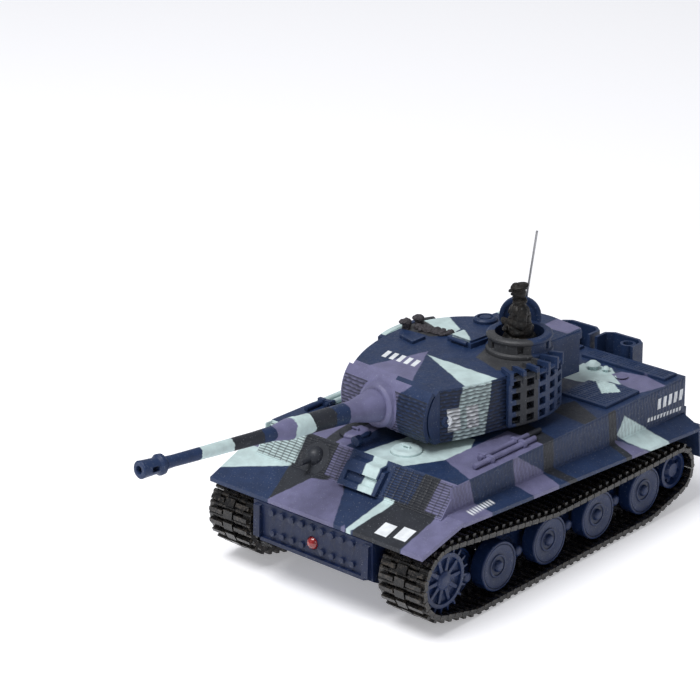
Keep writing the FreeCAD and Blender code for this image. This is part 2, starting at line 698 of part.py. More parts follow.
def track_link():
    """One link at the origin: its own pin on the X axis, the next one at +Y.

    -Z is the outer, ground side.  Three knuckles carry its pin and two hold the next.
    """
    knuckle = (track_width - 4 * knuckle_gap) / 5
    starts = [i * (knuckle + knuckle_gap) for i in range(5)]
    plate = box(0, track_width, 0.6, link_pitch - 0.6, -0.42, 0.42)
    pieces = []
    for i, start in enumerate(starts):
        own = i % 2 == 0
        y = 0.0 if own else link_pitch
        pieces.append(rod_x(start, start + knuckle, y, 0, knuckle_radius))
        pieces.append(box(start, start + knuckle, min(y, 1.0), max(y, 1.0), -0.42, 0.42))
    pads = [box(0.5, 3.7, 0.62, 1.38, -pin_z, 0), box(4.1, 6.3, 0.25, 1.75, -pin_z, -0.35),
            box(6.7, 9.9, 0.62, 1.38, -pin_z, 0)]
    horn_x = (inner_wheel_x[1] + outer_wheel_x[0]) / 2 - track_inner_x
    horn = section_loft([[(horn_x - w, 1 - l, z), (horn_x + w, 1 - l, z), (horn_x + w, 1 + l, z),
                          (horn_x - w, 1 + l, z)] for w, l, z in [(0.38, 0.38, 0.3), (0.25, 0.22, 1.5)]])
    link = join(plate, horn, *(pieces + pads))
    others = [rod_x(start, start + knuckle, link_pitch, 0, pin_radius + shaft_clearance)
              for i, start in enumerate(starts) if i % 2]
    window_x = sprocket_ring_x[0] - track_inner_x - 0.15
    window = box(window_x, window_x + sprocket_ring_x[1] - sprocket_ring_x[0] + 0.3,
                 0.7, link_pitch - 0.7, -0.6, 2)
    pin = rod_x(0, track_width, 0, 0, pin_radius)
    return join(cut(link, window, *others), pin)


def track(mirror):
    link = track_link()
    pins = pin_places()
    links = []
    for (y0, z0), (y1, z1) in zip(pins, pins[1:] + pins[:1]):
        turn = math.degrees(math.atan2(z1 - z0, y1 - y0))
        piece = link.copy()
        piece.rotate(Vec(0, 0, 0), Vec(1, 0, 0), turn)
        piece.translate(Vec(track_inner_x, y0, z0))
        links.append(mirrored(piece) if mirror else piece)
    return Part.makeCompound(links)


# ---------------------------------------------------------------- wheels
def wheel(y, outer):
    """Dished road wheel with its hub, bored for the axle from the inside."""
    x0, x1 = outer_wheel_x if outer else inner_wheel_x
    hub_end = x1 + 0.3 if outer else inner_hub_end_x
    dish = x1 - wheel_dish_depth
    profile = [(x0, 0), (x0, wheel_radius - 0.3), (x0 + 0.3, wheel_radius), (x1 - 0.25, wheel_radius),
               (x1, wheel_radius - 0.25), (x1, wheel_dish_radius + 0.1), (dish, wheel_dish_radius - 0.4),
               (dish + 0.1, wheel_hub_radius + 0.45), (x1 - 0.2, wheel_hub_radius),
               (hub_end, wheel_hub_radius - 0.25), (hub_end, 0)]
    body = turned_x(profile, y, axle_z)
    hub = rod_x(wheel_hub_start_x, x0 + 0.5, y, axle_z, wheel_hub_radius)
    bolts = []
    for i in range(wheel_bolts):
        angle = 2 * math.pi * i / wheel_bolts
        bolts.append(rod_x(dish - 0.2, dish + 0.25, y + 2.55 * math.cos(angle),
                           axle_z + 2.55 * math.sin(angle), 0.28))
    bore = rod_x(wheel_hub_start_x - 1, hub_end - wheel_cap, y, axle_z,
                 axle_radius + shaft_clearance)
    return cut(join(body, hub, *bolts), bore)


def wheel_axles():
    """Steel rods across the tub, one for each pair of road wheels, and two idler stubs."""
    rods = []
    for i, y in enumerate(axle_ys):
        cap_x = outer_wheel_x[1] + 0.3 if i % 2 else inner_hub_end_x
        end = cap_x - wheel_cap - 0.2
        rods.append(rod_x(-end, end, y, axle_z, axle_radius))
    end = outer_wheel_x[1] - wheel_cap - 0.2
    rods.append(rod_x(-end, end, idler_y, idler_z, idler_axle_radius))
    return Part.makeCompound(rods)


def idler():
    x0, x1 = outer_wheel_x
    hub = 1.6
    profile = [(wheel_hub_start_x, 0), (wheel_hub_start_x, hub), (inner_wheel_x[0], hub),
               (inner_wheel_x[0], idler_radius), (inner_wheel_x[1], idler_radius),
               (inner_wheel_x[1], hub), (x0, hub), (x0, idler_radius), (x1, idler_radius),
               (x1, idler_radius - 0.7), (x1 - 0.9, idler_radius - 0.9), (x1 - 0.9, hub + 0.2),
               (x1, hub - 0.3), (x1, 0)]
    body = turned_x(profile, idler_y, idler_z)
    windows = []
    for i in range(8):
        angle = 2 * math.pi * (i + 0.5) / 8
        windows.append(rod_x(x1 - 1.6, x1, idler_y + 2.35 * math.cos(angle),
                             idler_z + 2.35 * math.sin(angle), 0.42))
    bore = rod_x(wheel_hub_start_x - 1, x1 - wheel_cap, idler_y, idler_z,
                 idler_axle_radius + shaft_clearance)
    return cut(body, bore, *windows)


def sprocket():
    """Toothed and spoked ring on a drum, with the drive shaft and the final gear inside."""
    x0, x1 = sprocket_ring_x
    ring = cut(rod_x(x0, x1, sprocket_y, sprocket_z, sprocket_ring_radius),
               rod_x(x0 - 1, x1 + 1, sprocket_y, sprocket_z, sprocket_ring_radius - 0.75))
    teeth = []
    for i in range(sprocket_teeth):
        tooth = side_prism([(sprocket_ring_radius - 0.2, -sprocket_tooth_thickness * 0.6),
                            (sprocket_tooth_radius, -sprocket_tooth_thickness * 0.3),
                            (sprocket_tooth_radius, sprocket_tooth_thickness * 0.3),
                            (sprocket_ring_radius - 0.2, sprocket_tooth_thickness * 0.6)],
                           x0 + 0.1, x1 - 0.1)
        tooth.rotate(Vec(0, 0, 0), Vec(1, 0, 0), (i + 0.5) * 360 / sprocket_teeth)
        teeth.append(tooth)
    spokes = []
    for i in range(sprocket_spokes):
        spoke = side_prism([(1.2, -0.42), (sprocket_ring_radius - 0.5, -0.3),
                            (sprocket_ring_radius - 0.5, 0.3), (1.2, 0.42)], x0 + 0.1, x1 - 0.25)
        spoke.rotate(Vec(0, 0, 0), Vec(1, 0, 0), i * 360 / sprocket_spokes)
        spokes.append(spoke)
    radial = join(teeth[0], *(teeth[1:] + spokes))
    radial.translate(Vec(0, sprocket_y, sprocket_z))
    drum = turned_x([(wheel_hub_start_x, 0), (wheel_hub_start_x, 1.8), (wheel_hub_start_x + 1.2, 1.8),
                     (wheel_hub_start_x + 1.6, sprocket_drum_radius), (x0 - 0.6, sprocket_drum_radius),
                     (x0 + 0.2, sprocket_ring_radius - 0.6), (x0 + 0.5, sprocket_ring_radius - 0.6),
                     (x0 + 0.3, 2.0), (x1 - 0.1, 1.7), (x1 + 0.2, 1.0), (x1 + 0.2, 0)],
                    sprocket_y, sprocket_z)
    shaft = rod_x(final_gear_x, wheel_hub_start_x + 0.5, sprocket_y, sprocket_z,
                  sprocket_shaft_radius)
    gear = gear_x(final_teeth, gear_module, final_angle, final_gear_x, sprocket_y, sprocket_z, 0)
    return join(drum, ring, radial, shaft, gear)


# ---------------------------------------------------------------- drive train
def reduction_gear():
    """Large and small gear in one piece, turning on a pin of the gearbox frame."""
    gap_angle = final_angle + 180 + 180 / reduction_small_teeth
    large = gear_x(reduction_large_teeth, gear_module, motor_angle, reduction_gear_x,
                   reduction_y, reduction_z, 0)
    small = gear_x(reduction_small_teeth, gear_module, gap_angle, final_gear_x,
                   reduction_y, reduction_z, 0)
    collar = rod_x(reduction_gear_x, final_gear_x, reduction_y, reduction_z, 0.8)
    bore = rod_x(reduction_gear_x - 1, final_gear_x + gear_width + 1, reduction_y, reduction_z,
                 reduction_pin_radius + shaft_clearance)
    return cut(join(large, small, collar), bore)


def motor_pinion():
    gap_angle = motor_angle + 180 + 180 / motor_pinion_teeth
    pinion = gear_x(motor_pinion_teeth, gear_module, gap_angle, reduction_gear_x, motor_y, motor_z, 0)
    shaft = rod_x(motor_outer_x - 1.5, reduction_gear_x + 0.2, motor_y, motor_z, motor_shaft_radius)
    return join(pinion, shaft)


def drive_motors():
    can = turned_x([(motor_inner_x, 0), (motor_inner_x, motor_radius - 0.4),
                    (motor_inner_x + 0.4, motor_radius), (motor_outer_x - 0.9, motor_radius),
                    (motor_outer_x - 0.9, 1.2), (motor_outer_x, 1.2), (motor_outer_x, 0)],
                   motor_y, motor_z)
    hole = rod_x(motor_outer_x - 1.7, motor_outer_x + 1, motor_y, motor_z,
                 motor_shaft_radius + shaft_clearance)
    return pair(cut(can, hole))


def gearbox_frames():
    """Brackets for the reduction gears' pins and the drive motors, and the turret motor's stand."""
    x0, x1 = motor_outer_x - 0.9, reduction_gear_x - moving_gap
    web = box(x0, x1, reduction_y - 1.4, reduction_y + 1.0, tub_floor_z, reduction_z + 1.2)
    foot = box(motor_inner_x + 2, x1, motor_y - 2.4, motor_y + 2.4, tub_floor_z + 3.2,
               motor_z - motor_radius * 0.5)
    leg = box(x0 - 2, x1, reduction_y - 1.4, motor_y + 2.4, tub_floor_z + 3.2, tub_floor_z + 4.4)
    pin = rod_x(x0, final_gear_x + gear_width + 0.1, reduction_y, reduction_z, reduction_pin_radius)
    bed = rod_x(0, x1 + 1, motor_y, motor_z, motor_radius)
    clear_gear = rod_x(x1 - 0.2, x1 + 1, motor_y, motor_z, 2.0)
    frame = join(cut(join(web, foot, leg), bed, clear_gear), pin)
    table_z = turret_motor_foot_z
    front_y = turret_pinion_y - 3.4
    stand = join(box(-4.0, 4.0, front_y, front_y + 6.6, table_z - 1.2, table_z),
                 box(-4.0, -2.8, front_y, front_y + 1.4, tub_floor_z, table_z - 0.6),
                 box(2.8, 4.0, front_y, front_y + 1.4, tub_floor_z, table_z - 0.6))
    return Part.makeCompound([frame, mirrored(frame), stand])


def turret_motor():
    """Upright motor behind the turret ring."""
    top = ring_gear_top_z - ring_gear_height - 0.5
    can = turned_z([(turret_motor_foot_z, 0), (turret_motor_foot_z, 2.9), (top - 0.6, 2.9), (top - 0.6, 1.2),
                    (top, 1.2), (top, 0)], 0, turret_pinion_y)
    hole = rod_z(top - 1.6, top + 1, 0, turret_pinion_y, motor_shaft_radius + shaft_clearance)
    return cut(can, hole)


def turret_pinion():
    bottom = ring_gear_top_z - ring_gear_height
    outline = gear_outline(turret_pinion_teeth, ring_module, -90 + 180 / turret_pinion_teeth)
    pinion = plan_prism([(x, turret_pinion_y + y) for x, y in outline], bottom, ring_gear_top_z)
    shaft = rod_z(bottom - 2.0, bottom + 0.2, 0, turret_pinion_y, motor_shaft_radius)
    return join(pinion, shaft)


# ---------------------------------------------------------------- electrics
def battery_cells():
    cells = []
    z = battery_foot_z + battery_cell_radius
    for y in battery_cell_ys:
        cells.append(turned_x([(-8.4, 0), (-8.4, battery_cell_radius - 0.5),
                               (-8.0, battery_cell_radius), (8.0, battery_cell_radius),
                               (8.4, battery_cell_radius - 0.5), (8.4, 1.4), (9.0, 1.4), (9.0, 0)],
                              y, z))
    return Part.makeCompound(cells)


def receiver_board():
    half_width = board_post_x + board_post_radius
    board = box(-half_width, half_width, -17.0, 11.0, board_z, board_z + board_thickness)
    top = board_z + board_thickness
    chips = [box(-3.5, 3.5, -12.0, -5.5, top - 0.1, top + 1.1), box(-6.5, -2.5, 0.5, 4.0, top - 0.1, top + 0.9),
             box(1.5, 4.5, 1.0, 3.5, top - 0.1, top + 1.4), rod_z(top - 0.1, top + 1.7, 6.0, -3.0, 1.3)]
    rooms = [rod_z(board_z - 1, top + 2, x, y, screw_post_radius + 0.25) for x, y in screw_places()]
    return cut(join(board, *chips), *rooms)


def charge_socket():
    """Round socket in the rear plate for the charging plug."""
    y1 = hull_rear_y
    shell = rod_y(y1 - socket_depth - 1.0, y1 - 0.1, 0, socket_z, socket_shell_radius)
    return cut(shell, rod_y(y1 - socket_depth - 0.1, y1 + 1, 0, socket_z, socket_bore_radius))


def switch_housing():
    """Sliding switch body on the tub's floor, over the slot for its knob."""
    half = switch_travel / 2 + switch_knob_half + 1.2
    z1 = tub_floor_z + 2.6
    housing = box(-half, half, switch_y - 1.9, switch_y + 1.9, tub_floor_z, z1)
    slot_half = half - 0.9
    return cut(housing, box(-slot_half, slot_half, switch_y - switch_knob_width / 2 - 0.2,
                            switch_y + switch_knob_width / 2 + 0.2, tub_floor_z - 1, z1 - 0.7))


def switch_knob():
    """Knob of the power switch, at the off end of its travel."""
    x = -switch_travel / 2
    return box(x - switch_knob_half, x + switch_knob_half, switch_y - switch_knob_width / 2,
               switch_y + switch_knob_width / 2, tub_bottom_z - 0.8, tub_floor_z + 1.6)


def case_screws():
    screws = []
    for x, y in screw_places():
        head_z = tub_bottom_z + 0.05
        screw = join(rod_z(head_z, tub_bottom_z + 0.6, x, y, 1.05),
                     rod_z(tub_bottom_z + 0.5, tub_floor_z + 6.0, x, y, 0.5))
        cross = [box(x - 0.7, x + 0.7, y - 0.13, y + 0.13, head_z - 1, head_z + 0.3),
                 box(x - 0.13, x + 0.13, y - 0.7, y + 0.7, head_z - 1, head_z + 0.3)]
        screws.append(cut(screw, *cross))
    return Part.makeCompound(screws)


# ---------------------------------------------------------------- turret, in its own frame
def turret_outline(inset):
    """Horseshoe: bowed sides from the front corners back to a round rear."""
    left, right = turret_front_left - inset, -(turret_front_right - inset)
    front = turret_front_y
    bulge_left, bulge_right = turret_bulge_left - inset, -(turret_bulge_right - inset)
    radius = turret_radius - inset
    p = [Vec(right, front, 0), Vec(left, front, 0), Vec(radius, 0, 0), Vec(-radius, 0, 0)]
    edges = [Part.LineSegment(p[0], p[1]).toShape(),
             Part.Arc(p[1], Vec(bulge_left, turret_bulge_y, 0), p[2]).toShape(),
             Part.Arc(p[2], Vec(0, radius, 0), p[3]).toShape(),
             Part.Arc(p[3], Vec(bulge_right, turret_bulge_y, 0), p[0]).toShape()]
    return Part.Wire(edges)


def turret_block(inset, z0, z1):
    face = Part.Face(turret_outline(inset))
    face.translate(Vec(0, 0, z0))
    return face.extrude(Vec(0, 0, z1 - z0))


def turret_shell():
    """Turret walls and roof; the front is a round nose that the mantlet slides over."""
    nose_radius = mantlet_inner_radius - moving_gap
    wide = turret_front_left + turret_front_right
    nose = cut(rod_x(-turret_front_right, turret_front_left, trunnion_y, trunnion_z, nose_radius),
               box(-wide, wide, -30, 30, turret_roof_z, 60), box(-wide, wide, -30, 30, 0, turret_foot_z))
    body = join(turret_block(0, turret_foot_z, turret_roof_z), nose)
    inside = turret_block(turret_wall, turret_foot_z - 1, turret_roof_z - turret_wall)
    inside = join(inside, rod_x(-turret_front_right + turret_wall, turret_front_left - turret_wall,
                                trunnion_y, trunnion_z, nose_radius - turret_wall))
    inside = cut(inside, box(-wide, wide, -40, 40, turret_roof_z - turret_wall, 60))
    gun_port = box(-3.4, 3.4, -30, trunnion_y, trunnion_z - 4.0, trunnion_z + 4.0)
    cupola_hole = rod_z(turret_roof_z - 3, turret_roof_z + 1, cupola_x, cupola_y, cupola_bore_radius)
    shell = cut(body, inside, gun_port, cupola_hole)
    lugs = [box(x, x + 1.2, trunnion_y - 1.6, trunnion_y + 1.6, trunnion_z - 1.6,
                turret_roof_z - turret_wall + 0.2) for x in (-5.6, 4.4)]
    pivot = rod_x(-8, 8, trunnion_y, trunnion_z, trunnion_pin_radius + shaft_clearance)
    return cut(join(shell, *lugs), pivot)


def turret_base():
    """Collar under the shell, spigot through the deck and ring gear under the deck."""
    gear_bottom = ring_gear_top_z - ring_gear_height
    collar = rod_z(deck_z + 0.1, turret_foot_z, 0, 0, turret_collar_radius)
    spigot = rod_z(ring_gear_top_z, deck_z + 0.2, 0, 0, bearing_radius)
    outline = gear_outline(ring_teeth, ring_module, 90 - turret_rest_yaw)
    gear = plan_prism(outline, gear_bottom, ring_gear_top_z + 0.1)
    bore = rod_z(gear_bottom - 1, turret_foot_z + 1, 0, 0, bearing_radius - 2.0)
    return cut(join(collar, spigot, gear), bore)


def cupola():
    """Drum with a stepped top ring and six vision slits, open for the commander."""
    z0, z1 = turret_roof_z, turret_roof_z + cupola_height
    drum = turned_z([(z0, 0), (z0, cupola_radius), (z0 + 0.7, cupola_radius), (z0 + 0.9, cupola_radius - 0.45),
                     (z1 - 1.0, cupola_radius - 0.45), (z1 - 0.8, cupola_radius - 0.1),
                     (z1 - 0.3, cupola_radius - 0.1), (z1, cupola_radius - 0.5), (z1, 0)],
                    cupola_x, cupola_y)
    slits = []
    for i in range(6):
        slit = box(cupola_radius - 1.2, cupola_radius + 1, -0.45, 0.45, z0 + 1.1, z1 - 1.15)
        slit.rotate(Vec(0, 0, 0), Vec(0, 0, 1), 60 * i + 15)
        slit.translate(Vec(cupola_x, cupola_y, 0))
        slits.append(slit)
    bore = rod_z(z0 - 1, z1 + 1, cupola_x, cupola_y, cupola_bore_radius)
    return cut(drum, bore, *slits)


def commander_figure():
    """Half-length figure standing in the cupola, on a foot disc in the roof's opening."""
    x, y, z = cupola_x, cupola_y, turret_roof_z
    foot = turned_z([(z - turret_wall, 0), (z - turret_wall, cupola_bore_radius), (z + 0.8, cupola_bore_radius),
                     (z + 0.8, 0)], x, y)
    torso = turned_z([(z, 0), (z, 3.6), (z + 3.4, 3.5), (z + 5.6, 3.2), (z + 8.2, 2.0), (z + 8.9, 1.2),
                      (z + 8.9, 0)], x, y)
    head = Part.makeSphere(2.0, Vec(x, y - 0.2, z + 10.4))
    cap = turned_z([(z + 11.0, 0), (z + 11.0, 2.3), (z + 12.0, 2.4), (z + 12.9, 1.5), (z + 12.9, 0)],
                   x, y - 0.1)
    return join(foot, torso, head, cap)


def cupola_hatch_lid():
    """Round lid swung open behind the cupola, standing on the roof beside its hinge."""
    z = turret_roof_z
    near = cupola_radius + 0.1
    far = near + hatch_lid_thickness
    lid = rod_x(near, far, 0, z + hatch_lid_radius, hatch_lid_radius)
    recess = rod_x(near - 1, near + 0.3, 0, z + hatch_lid_radius, hatch_lid_radius - 0.8)
    hinge = box(cupola_radius - 0.4, near + 0.4, -1.2, 1.2, z + 1.2, z + 2.2)
    piece = join(cut(lid, recess), hinge)
    piece.rotate(Vec(0, 0, 0), Vec(0, 0, 1), hatch_lid_direction)
    piece.translate(Vec(cupola_x, cupola_y, 0))
    return piece


def turret_bin():
    """Stowage box behind the turret, its front hollowed to the turret's curve."""
    y0 = turret_radius - 4.5
    y1 = turret_radius + bin_depth
    back = bin_half_width - 1.2
    outline = [(-bin_half_width, y0), (bin_half_width, y0), (bin_half_width, y1 - 1.8), (back, y1 - 0.7),
               (0, y1), (-back, y1 - 0.7), (-bin_half_width, y1 - 1.8)]
    chest = plan_prism(outline, bin_foot_z, bin_top_z)
    lid = plan_prism([(x * 1.03, y + (0.25 if y > y0 else 0)) for x, y in outline],
                     bin_top_z - 1.6, bin_top_z - 0.2)
    return cut(join(chest, lid), rod_z(0, 60, 0, 0, turret_radius + 0.02))


def spare_track_racks():
    """Grids of spare track held off both turret walls by ledges, the left one also hooked on the roof."""
    z0, z1 = turret_foot_z + 0.5, turret_roof_z - 0.4
    outer = rack_inner_radius + rack_thickness
    wall = turret_block(-0.02, turret_foot_z - 1, turret_roof_z + 0.01)
    cupola_room = rod_z(turret_roof_z - 1, turret_roof_z + 3, cupola_x, cupola_y, cupola_radius + 0.1)
    racks = []
    row = (z1 - z0) / rack_rows
    for start, hooked in ((left_rack_start, True), (right_rack_start, False)):
        end = start + rack_step * rack_columns
        grid = arc_band(rack_inner_radius, outer, start, end, z0, z1)
        holes = []
        for i in range(rack_columns):
            for j in range(rack_rows):
                z = z0 + j * row + row * 0.22
                hole = box(rack_inner_radius - 1, outer + 1, -0.85, 0.85, z, z + row * 0.6)
                hole.rotate(Vec(0, 0, 0), Vec(0, 0, 1), start + (i + 0.5) * rack_step)
                holes.append(hole)
        ledges = [arc_band(turret_radius + 0.02, rack_inner_radius + 0.3, start + 1, end - 1, z, z + 0.5)
                  for z in (z0 + 0.2, z1 - 0.7)]
        hooks = []
        for i in range(rack_columns + 1 if hooked else 0):
            hook = box(turret_radius - 1.2, outer + 0.3, -0.35, 0.35, turret_roof_z + 0.02,
                       turret_roof_z + 0.9)
            tail = box(rack_inner_radius + 0.1, outer + 0.3, -0.35, 0.35, z1 - 1.0, turret_roof_z + 0.9)
            fin = join(hook, tail)
            angle = start + i * rack_step
            fin.rotate(Vec(0, 0, 0), Vec(0, 0, 1), min(max(angle, start + 1.5), end - 1.5))
            hooks.append(fin)
        rack = join(cut(grid, *holes), *(ledges + hooks))
        racks.append(cut(rack, wall, cupola_room))
    return Part.makeCompound(racks)


def roof_fittings():
    """Loader's hatch, ventilator, lifting lug, chevron ledge and the round port of the left wall."""
    z = turret_roof_z
    hatch = join(box(-4.6, 1.5, -0.9, 4.4, z, z + 0.9), box(-4.0, 1.0, -0.4, 3.9, z + 0.8, z + 1.3),
                 rod_x(-3.6, 0.6, -1.0, z + 0.75, 0.4))
    vent = cut(turned_z([(z, 0), (z, 2.3), (z + 0.5, 2.3), (z + 0.8, 1.9), (z + 0.8, 0)], -6.8, 11.6),
               cut(rod_z(z + 0.5, z + 1, -6.8, 11.6, 1.5), rod_z(z, z + 2, -6.8, 11.6, 1.1)))
    chevron = join(side_bar(-11.6, -5.7, -8.1, -6.4, z), side_bar(-8.1, -6.4, -8.3, -3.5, z))
    lug = join(rod_z(z, z + 1.0, 0.2, 13.6, 0.5), Part.makeSphere(0.8, Vec(0.2, 13.6, z + 1.3)))
    port = turned_x([(-1.5, 0), (-1.5, port_radius), (0.3, port_radius), (0.5, port_radius - 0.25),
                     (0.5, 0.55), (0.2, 0.4), (0.2, 0)], 0, 0)
    port.rotate(Vec(0, 0, 0), Vec(0, 0, 1), port_direction)
    port.translate(Vec(port_x, port_y, port_z))
    port = cut(port, turret_block(-0.02, turret_foot_z, turret_roof_z))
    return Part.makeCompound([hatch, vent, chevron, lug, port])


def side_bar(x0, y0, x1, y1, z):
    """A low bar on the roof from one point to another."""
    length = math.hypot(x1 - x0, y1 - y0)
    bar = box(-0.3, length + 0.3, -0.35, 0.35, z, z + 0.55)
    bar.rotate(Vec(0, 0, 0), Vec(0, 0, 1), math.degrees(math.atan2(y1 - y0, x1 - x0)))
    bar.translate(Vec(x0, y0, 0))
    return bar


def roof_stowage():
    """Two domed launchers at the right edge of the roof and a rolled net beside them."""
    z = turret_roof_z
    domes = []
    for x, y in ((-13.4, -1.2), (-12.6, 1.8)):
        domes.append(turned_z([(z, 0), (z, 1.15), (z + 0.7, 1.1), (z + 1.5, 0.85), (z + 1.9, 0.4), (z + 1.9, 0)],
                              x, y))
    lumps = [Part.makeSphere(radius, Vec(x, y, z - sunk)) for x, y, radius, sunk in
             [(-10.6, -0.2, 1.5, 0.6), (-8.9, -0.9, 1.6, 0.5), (-8.3, 1.2, 1.9, 0.9), (-9.9, 1.5, 1.6, 0.7),
              (-6.6, 0.4, 1.5, 0.7)]]
    roll = cut(join(lumps[0], *lumps[1:]), box(-20, 20, -20, 20, z - 5, z))
    return Part.makeCompound(domes + [roll])


def antenna():
    """Thin aerial wire that leans to the tank's left, in a small foot on the roof."""
    z = turret_roof_z
    base = Vec(1.8, 12.2, z)
    tip = Vec(5.6, 12.0, antenna_top_z)
    wire = Part.makeCylinder(antenna_radius, (tip - base).Length, base, tip - base)
    foot = turned_z([(z, 0), (z, 0.8), (z + 0.6, 0.8), (z + 1.2, 0.45), (z + 1.2, 0)], base.x, base.y)
    return join(foot, cut(wire, box(-5, 10, 5, 20, z - 2, z + 0.1)))


# ---------------------------------------------------------------- gun, in the turret's frame, level
def mantlet():
    """Curved shield that turns about the trunnions, with the collar of the gun sleeve."""
    outer = mantlet_inner_radius + mantlet_thickness

    def at(radius, angle):
        a = math.radians(180 - angle)
        return Vec(-turret_front_right + 0.05, trunnion_y + radius * math.cos(a),
                   trunnion_z + radius * math.sin(a))

    low, high = mantlet_bottom_angle, mantlet_top_angle
    middle = (low + high) / 2
    edges = [Part.Arc(at(outer, low), at(outer, middle), at(outer, high)).toShape(),
             Part.LineSegment(at(outer, high), at(mantlet_inner_radius, high)).toShape(),
             Part.Arc(at(mantlet_inner_radius, high), at(mantlet_inner_radius, middle),
                      at(mantlet_inner_radius, low)).toShape(),
             Part.LineSegment(at(mantlet_inner_radius, low), at(outer, low)).toShape()]
    width = turret_front_left + turret_front_right - 0.1
    shield = Part.Face(Part.Wire(edges)).extrude(Vec(width, 0, 0))
    front = trunnion_y - outer
    nose = front - mantlet_collar_depth
    collar = turned_y([(nose, 0), (nose, 3.6), (nose + 0.4, 4.1), (front + 1.6, 4.4),
                       (front + 1.6, 0)], 0, trunnion_z)
    keep_out = rod_x(-20, 20, trunnion_y, trunnion_z, mantlet_inner_radius)
    bore = rod_y(front - 5, trunnion_y, 0, trunnion_z, gun_root_radius)
    return cut(join(shield, cut(collar, keep_out)), bore)


def gun_barrel():
    """Barrel with its sleeve, stepped collar and muzzle brake, and the trunnion pin."""
    def out(distance):
        return trunnion_y - distance
    muzzle = out(muzzle_distance)
    brake = muzzle + 4.2
    root_end = mantlet_inner_radius + mantlet_thickness + mantlet_collar_depth + 0.05
    profile = [(out(1.5), 0), (out(1.5), gun_root_radius), (out(root_end), gun_root_radius),
               (out(root_end), 3.1), (out(root_end + 2.0), 2.7), (out(root_end + 5.5), 1.95),
               (out(sleeve_end_distance - 4.0), 1.82), (out(sleeve_end_distance - 0.1), 1.85),
               (out(sleeve_end_distance), 1.95), (out(sleeve_end_distance + 1.8), 1.9),
               (out(sleeve_end_distance + 5.0), 1.35), (out(sleeve_end_distance + 9.0), 1.2),
               (brake + 3.0, 1.05), (brake + 1.3, 1.15), (brake + 0.6, 1.8), (brake - 0.1, 1.85),
               (brake - 0.5, 1.4), (muzzle + 1.3, 1.5), (muzzle + 0.2, 1.58), (muzzle, 1.35),
               (muzzle, 0.75), (muzzle + 3.4, 0.75), (muzzle + 3.4, 0)]
    barrel = turned_y(profile, 0, trunnion_z)
    window = box(-3, 3, muzzle + 1.8, brake - 0.9, trunnion_z - 0.45, trunnion_z + 0.45)
    block = box(-2.0, 2.0, out(3.0), out(-3.0), trunnion_z - 1.8, trunnion_z + 1.8)
    pin = rod_x(-5.5, 5.5, trunnion_y, trunnion_z, trunnion_pin_radius)
    return join(cut(barrel, window), block, pin)


# ---------------------------------------------------------------- placing and writing
def in_turret(shape):
    placed = shape.copy()
    placed.rotate(Vec(0, 0, 0), Vec(0, 0, 1), turret_rest_yaw)
    placed.translate(Vec(0, turret_y, 0))
    return placed


def in_gun(shape):
    placed = shape.copy()
    placed.rotate(Vec(0, trunnion_y, trunnion_z), Vec(1, 0, 0), -gun_rest_elevation)
    return in_turret(placed)


def hull_nodes():
    nodes = {"upper_hull": upper_hull(), "lower_hull": lower_hull(), "nose_led": nose_led(),
             "front_plate_fittings": front_plate_fittings(), "deck_hatches": deck_hatches(),
             "engine_grilles": engine_grilles(), "deck_vent_caps": deck_vent_caps(),
             "deck_tools": deck_tools(), "rear_mudflaps": rear_mudflaps(), "exhausts": exhausts(),
             "track_left": track(False), "track_right": track(True), "wheel_axles": wheel_axles(),
             "gearbox_frames": gearbox_frames(), "drive_motors": drive_motors(),
             "turret_motor": turret_motor(), "turret_pinion": turret_pinion(),
             "battery_cells": battery_cells(), "receiver_board": receiver_board(),
             "charge_socket": charge_socket(), "switch_housing": switch_housing(),
             "switch_knob": switch_knob(), "case_screws": case_screws()}
    for i, y in enumerate(axle_ys):
        nodes[f"wheel_left_{i + 1}"] = wheel(y, i % 2 == 1)
        nodes[f"wheel_right_{i + 1}"] = mirrored(wheel(y, i % 2 == 1))
    for name, make in [("sprocket", sprocket), ("idler", idler), ("reduction_gear", reduction_gear),
                       ("motor_pinion", motor_pinion)]:
        shape = make()
        nodes[f"{name}_left"] = shape
        nodes[f"{name}_right"] = mirrored(shape)
    return nodes


def turret_nodes():
    nodes = {"turret_shell": turret_shell(), "turret_base": turret_base(), "cupola": cupola(),
             "commander_figure": commander_figure(), "cupola_hatch_lid": cupola_hatch_lid(),
             "turret_bin": turret_bin(), "spare_track_racks": spare_track_racks(),
             "roof_fittings": roof_fittings(), "roof_stowage": roof_stowage(), "antenna": antenna()}
    nodes = {name: in_turret(shape) for name, shape in nodes.items()}
    nodes["mantlet"] = in_gun(mantlet())
    nodes["gun_barrel"] = in_gun(gun_barrel())
    return nodes


def main():
    nodes = {**hull_nodes(), **turret_nodes()}
    rear = nodes["exhausts"].BoundBox.YMax
    front = nodes["gun_barrel"].BoundBox.YMin
    centre_y = (front + rear) / 2
    os.makedirs("parts", exist_ok=True)
    for name, shape in nodes.items():
        placed = shape.copy()
        placed.translate(Vec(0, -centre_y, 0))
        placed.exportStep(f"parts/{name}.step")
    print(len(nodes), "nodes; shift along Y", round(-centre_y, 3), "idler y", round(idler_y, 3))


main()
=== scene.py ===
"""Looks of a small remote-controlled toy tank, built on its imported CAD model.

The CAD model gives every place.  Numbers here are millimetres in one of three frames, turned into
the row's metres by hull(), turret() or gun():
  hull    x = 0 on the centreline (+X the tank's left), y = 0 midway along the road wheels,
          -Y the front, z = 0 the ground
  turret  the same axes with the origin on the turret's axis, turned with the turret
  gun     the turret's axes with the gun level, turned about the trunnions
"""
import json
import math

import bmesh
import bpy
from mathutils import Matrix, Vector, noise


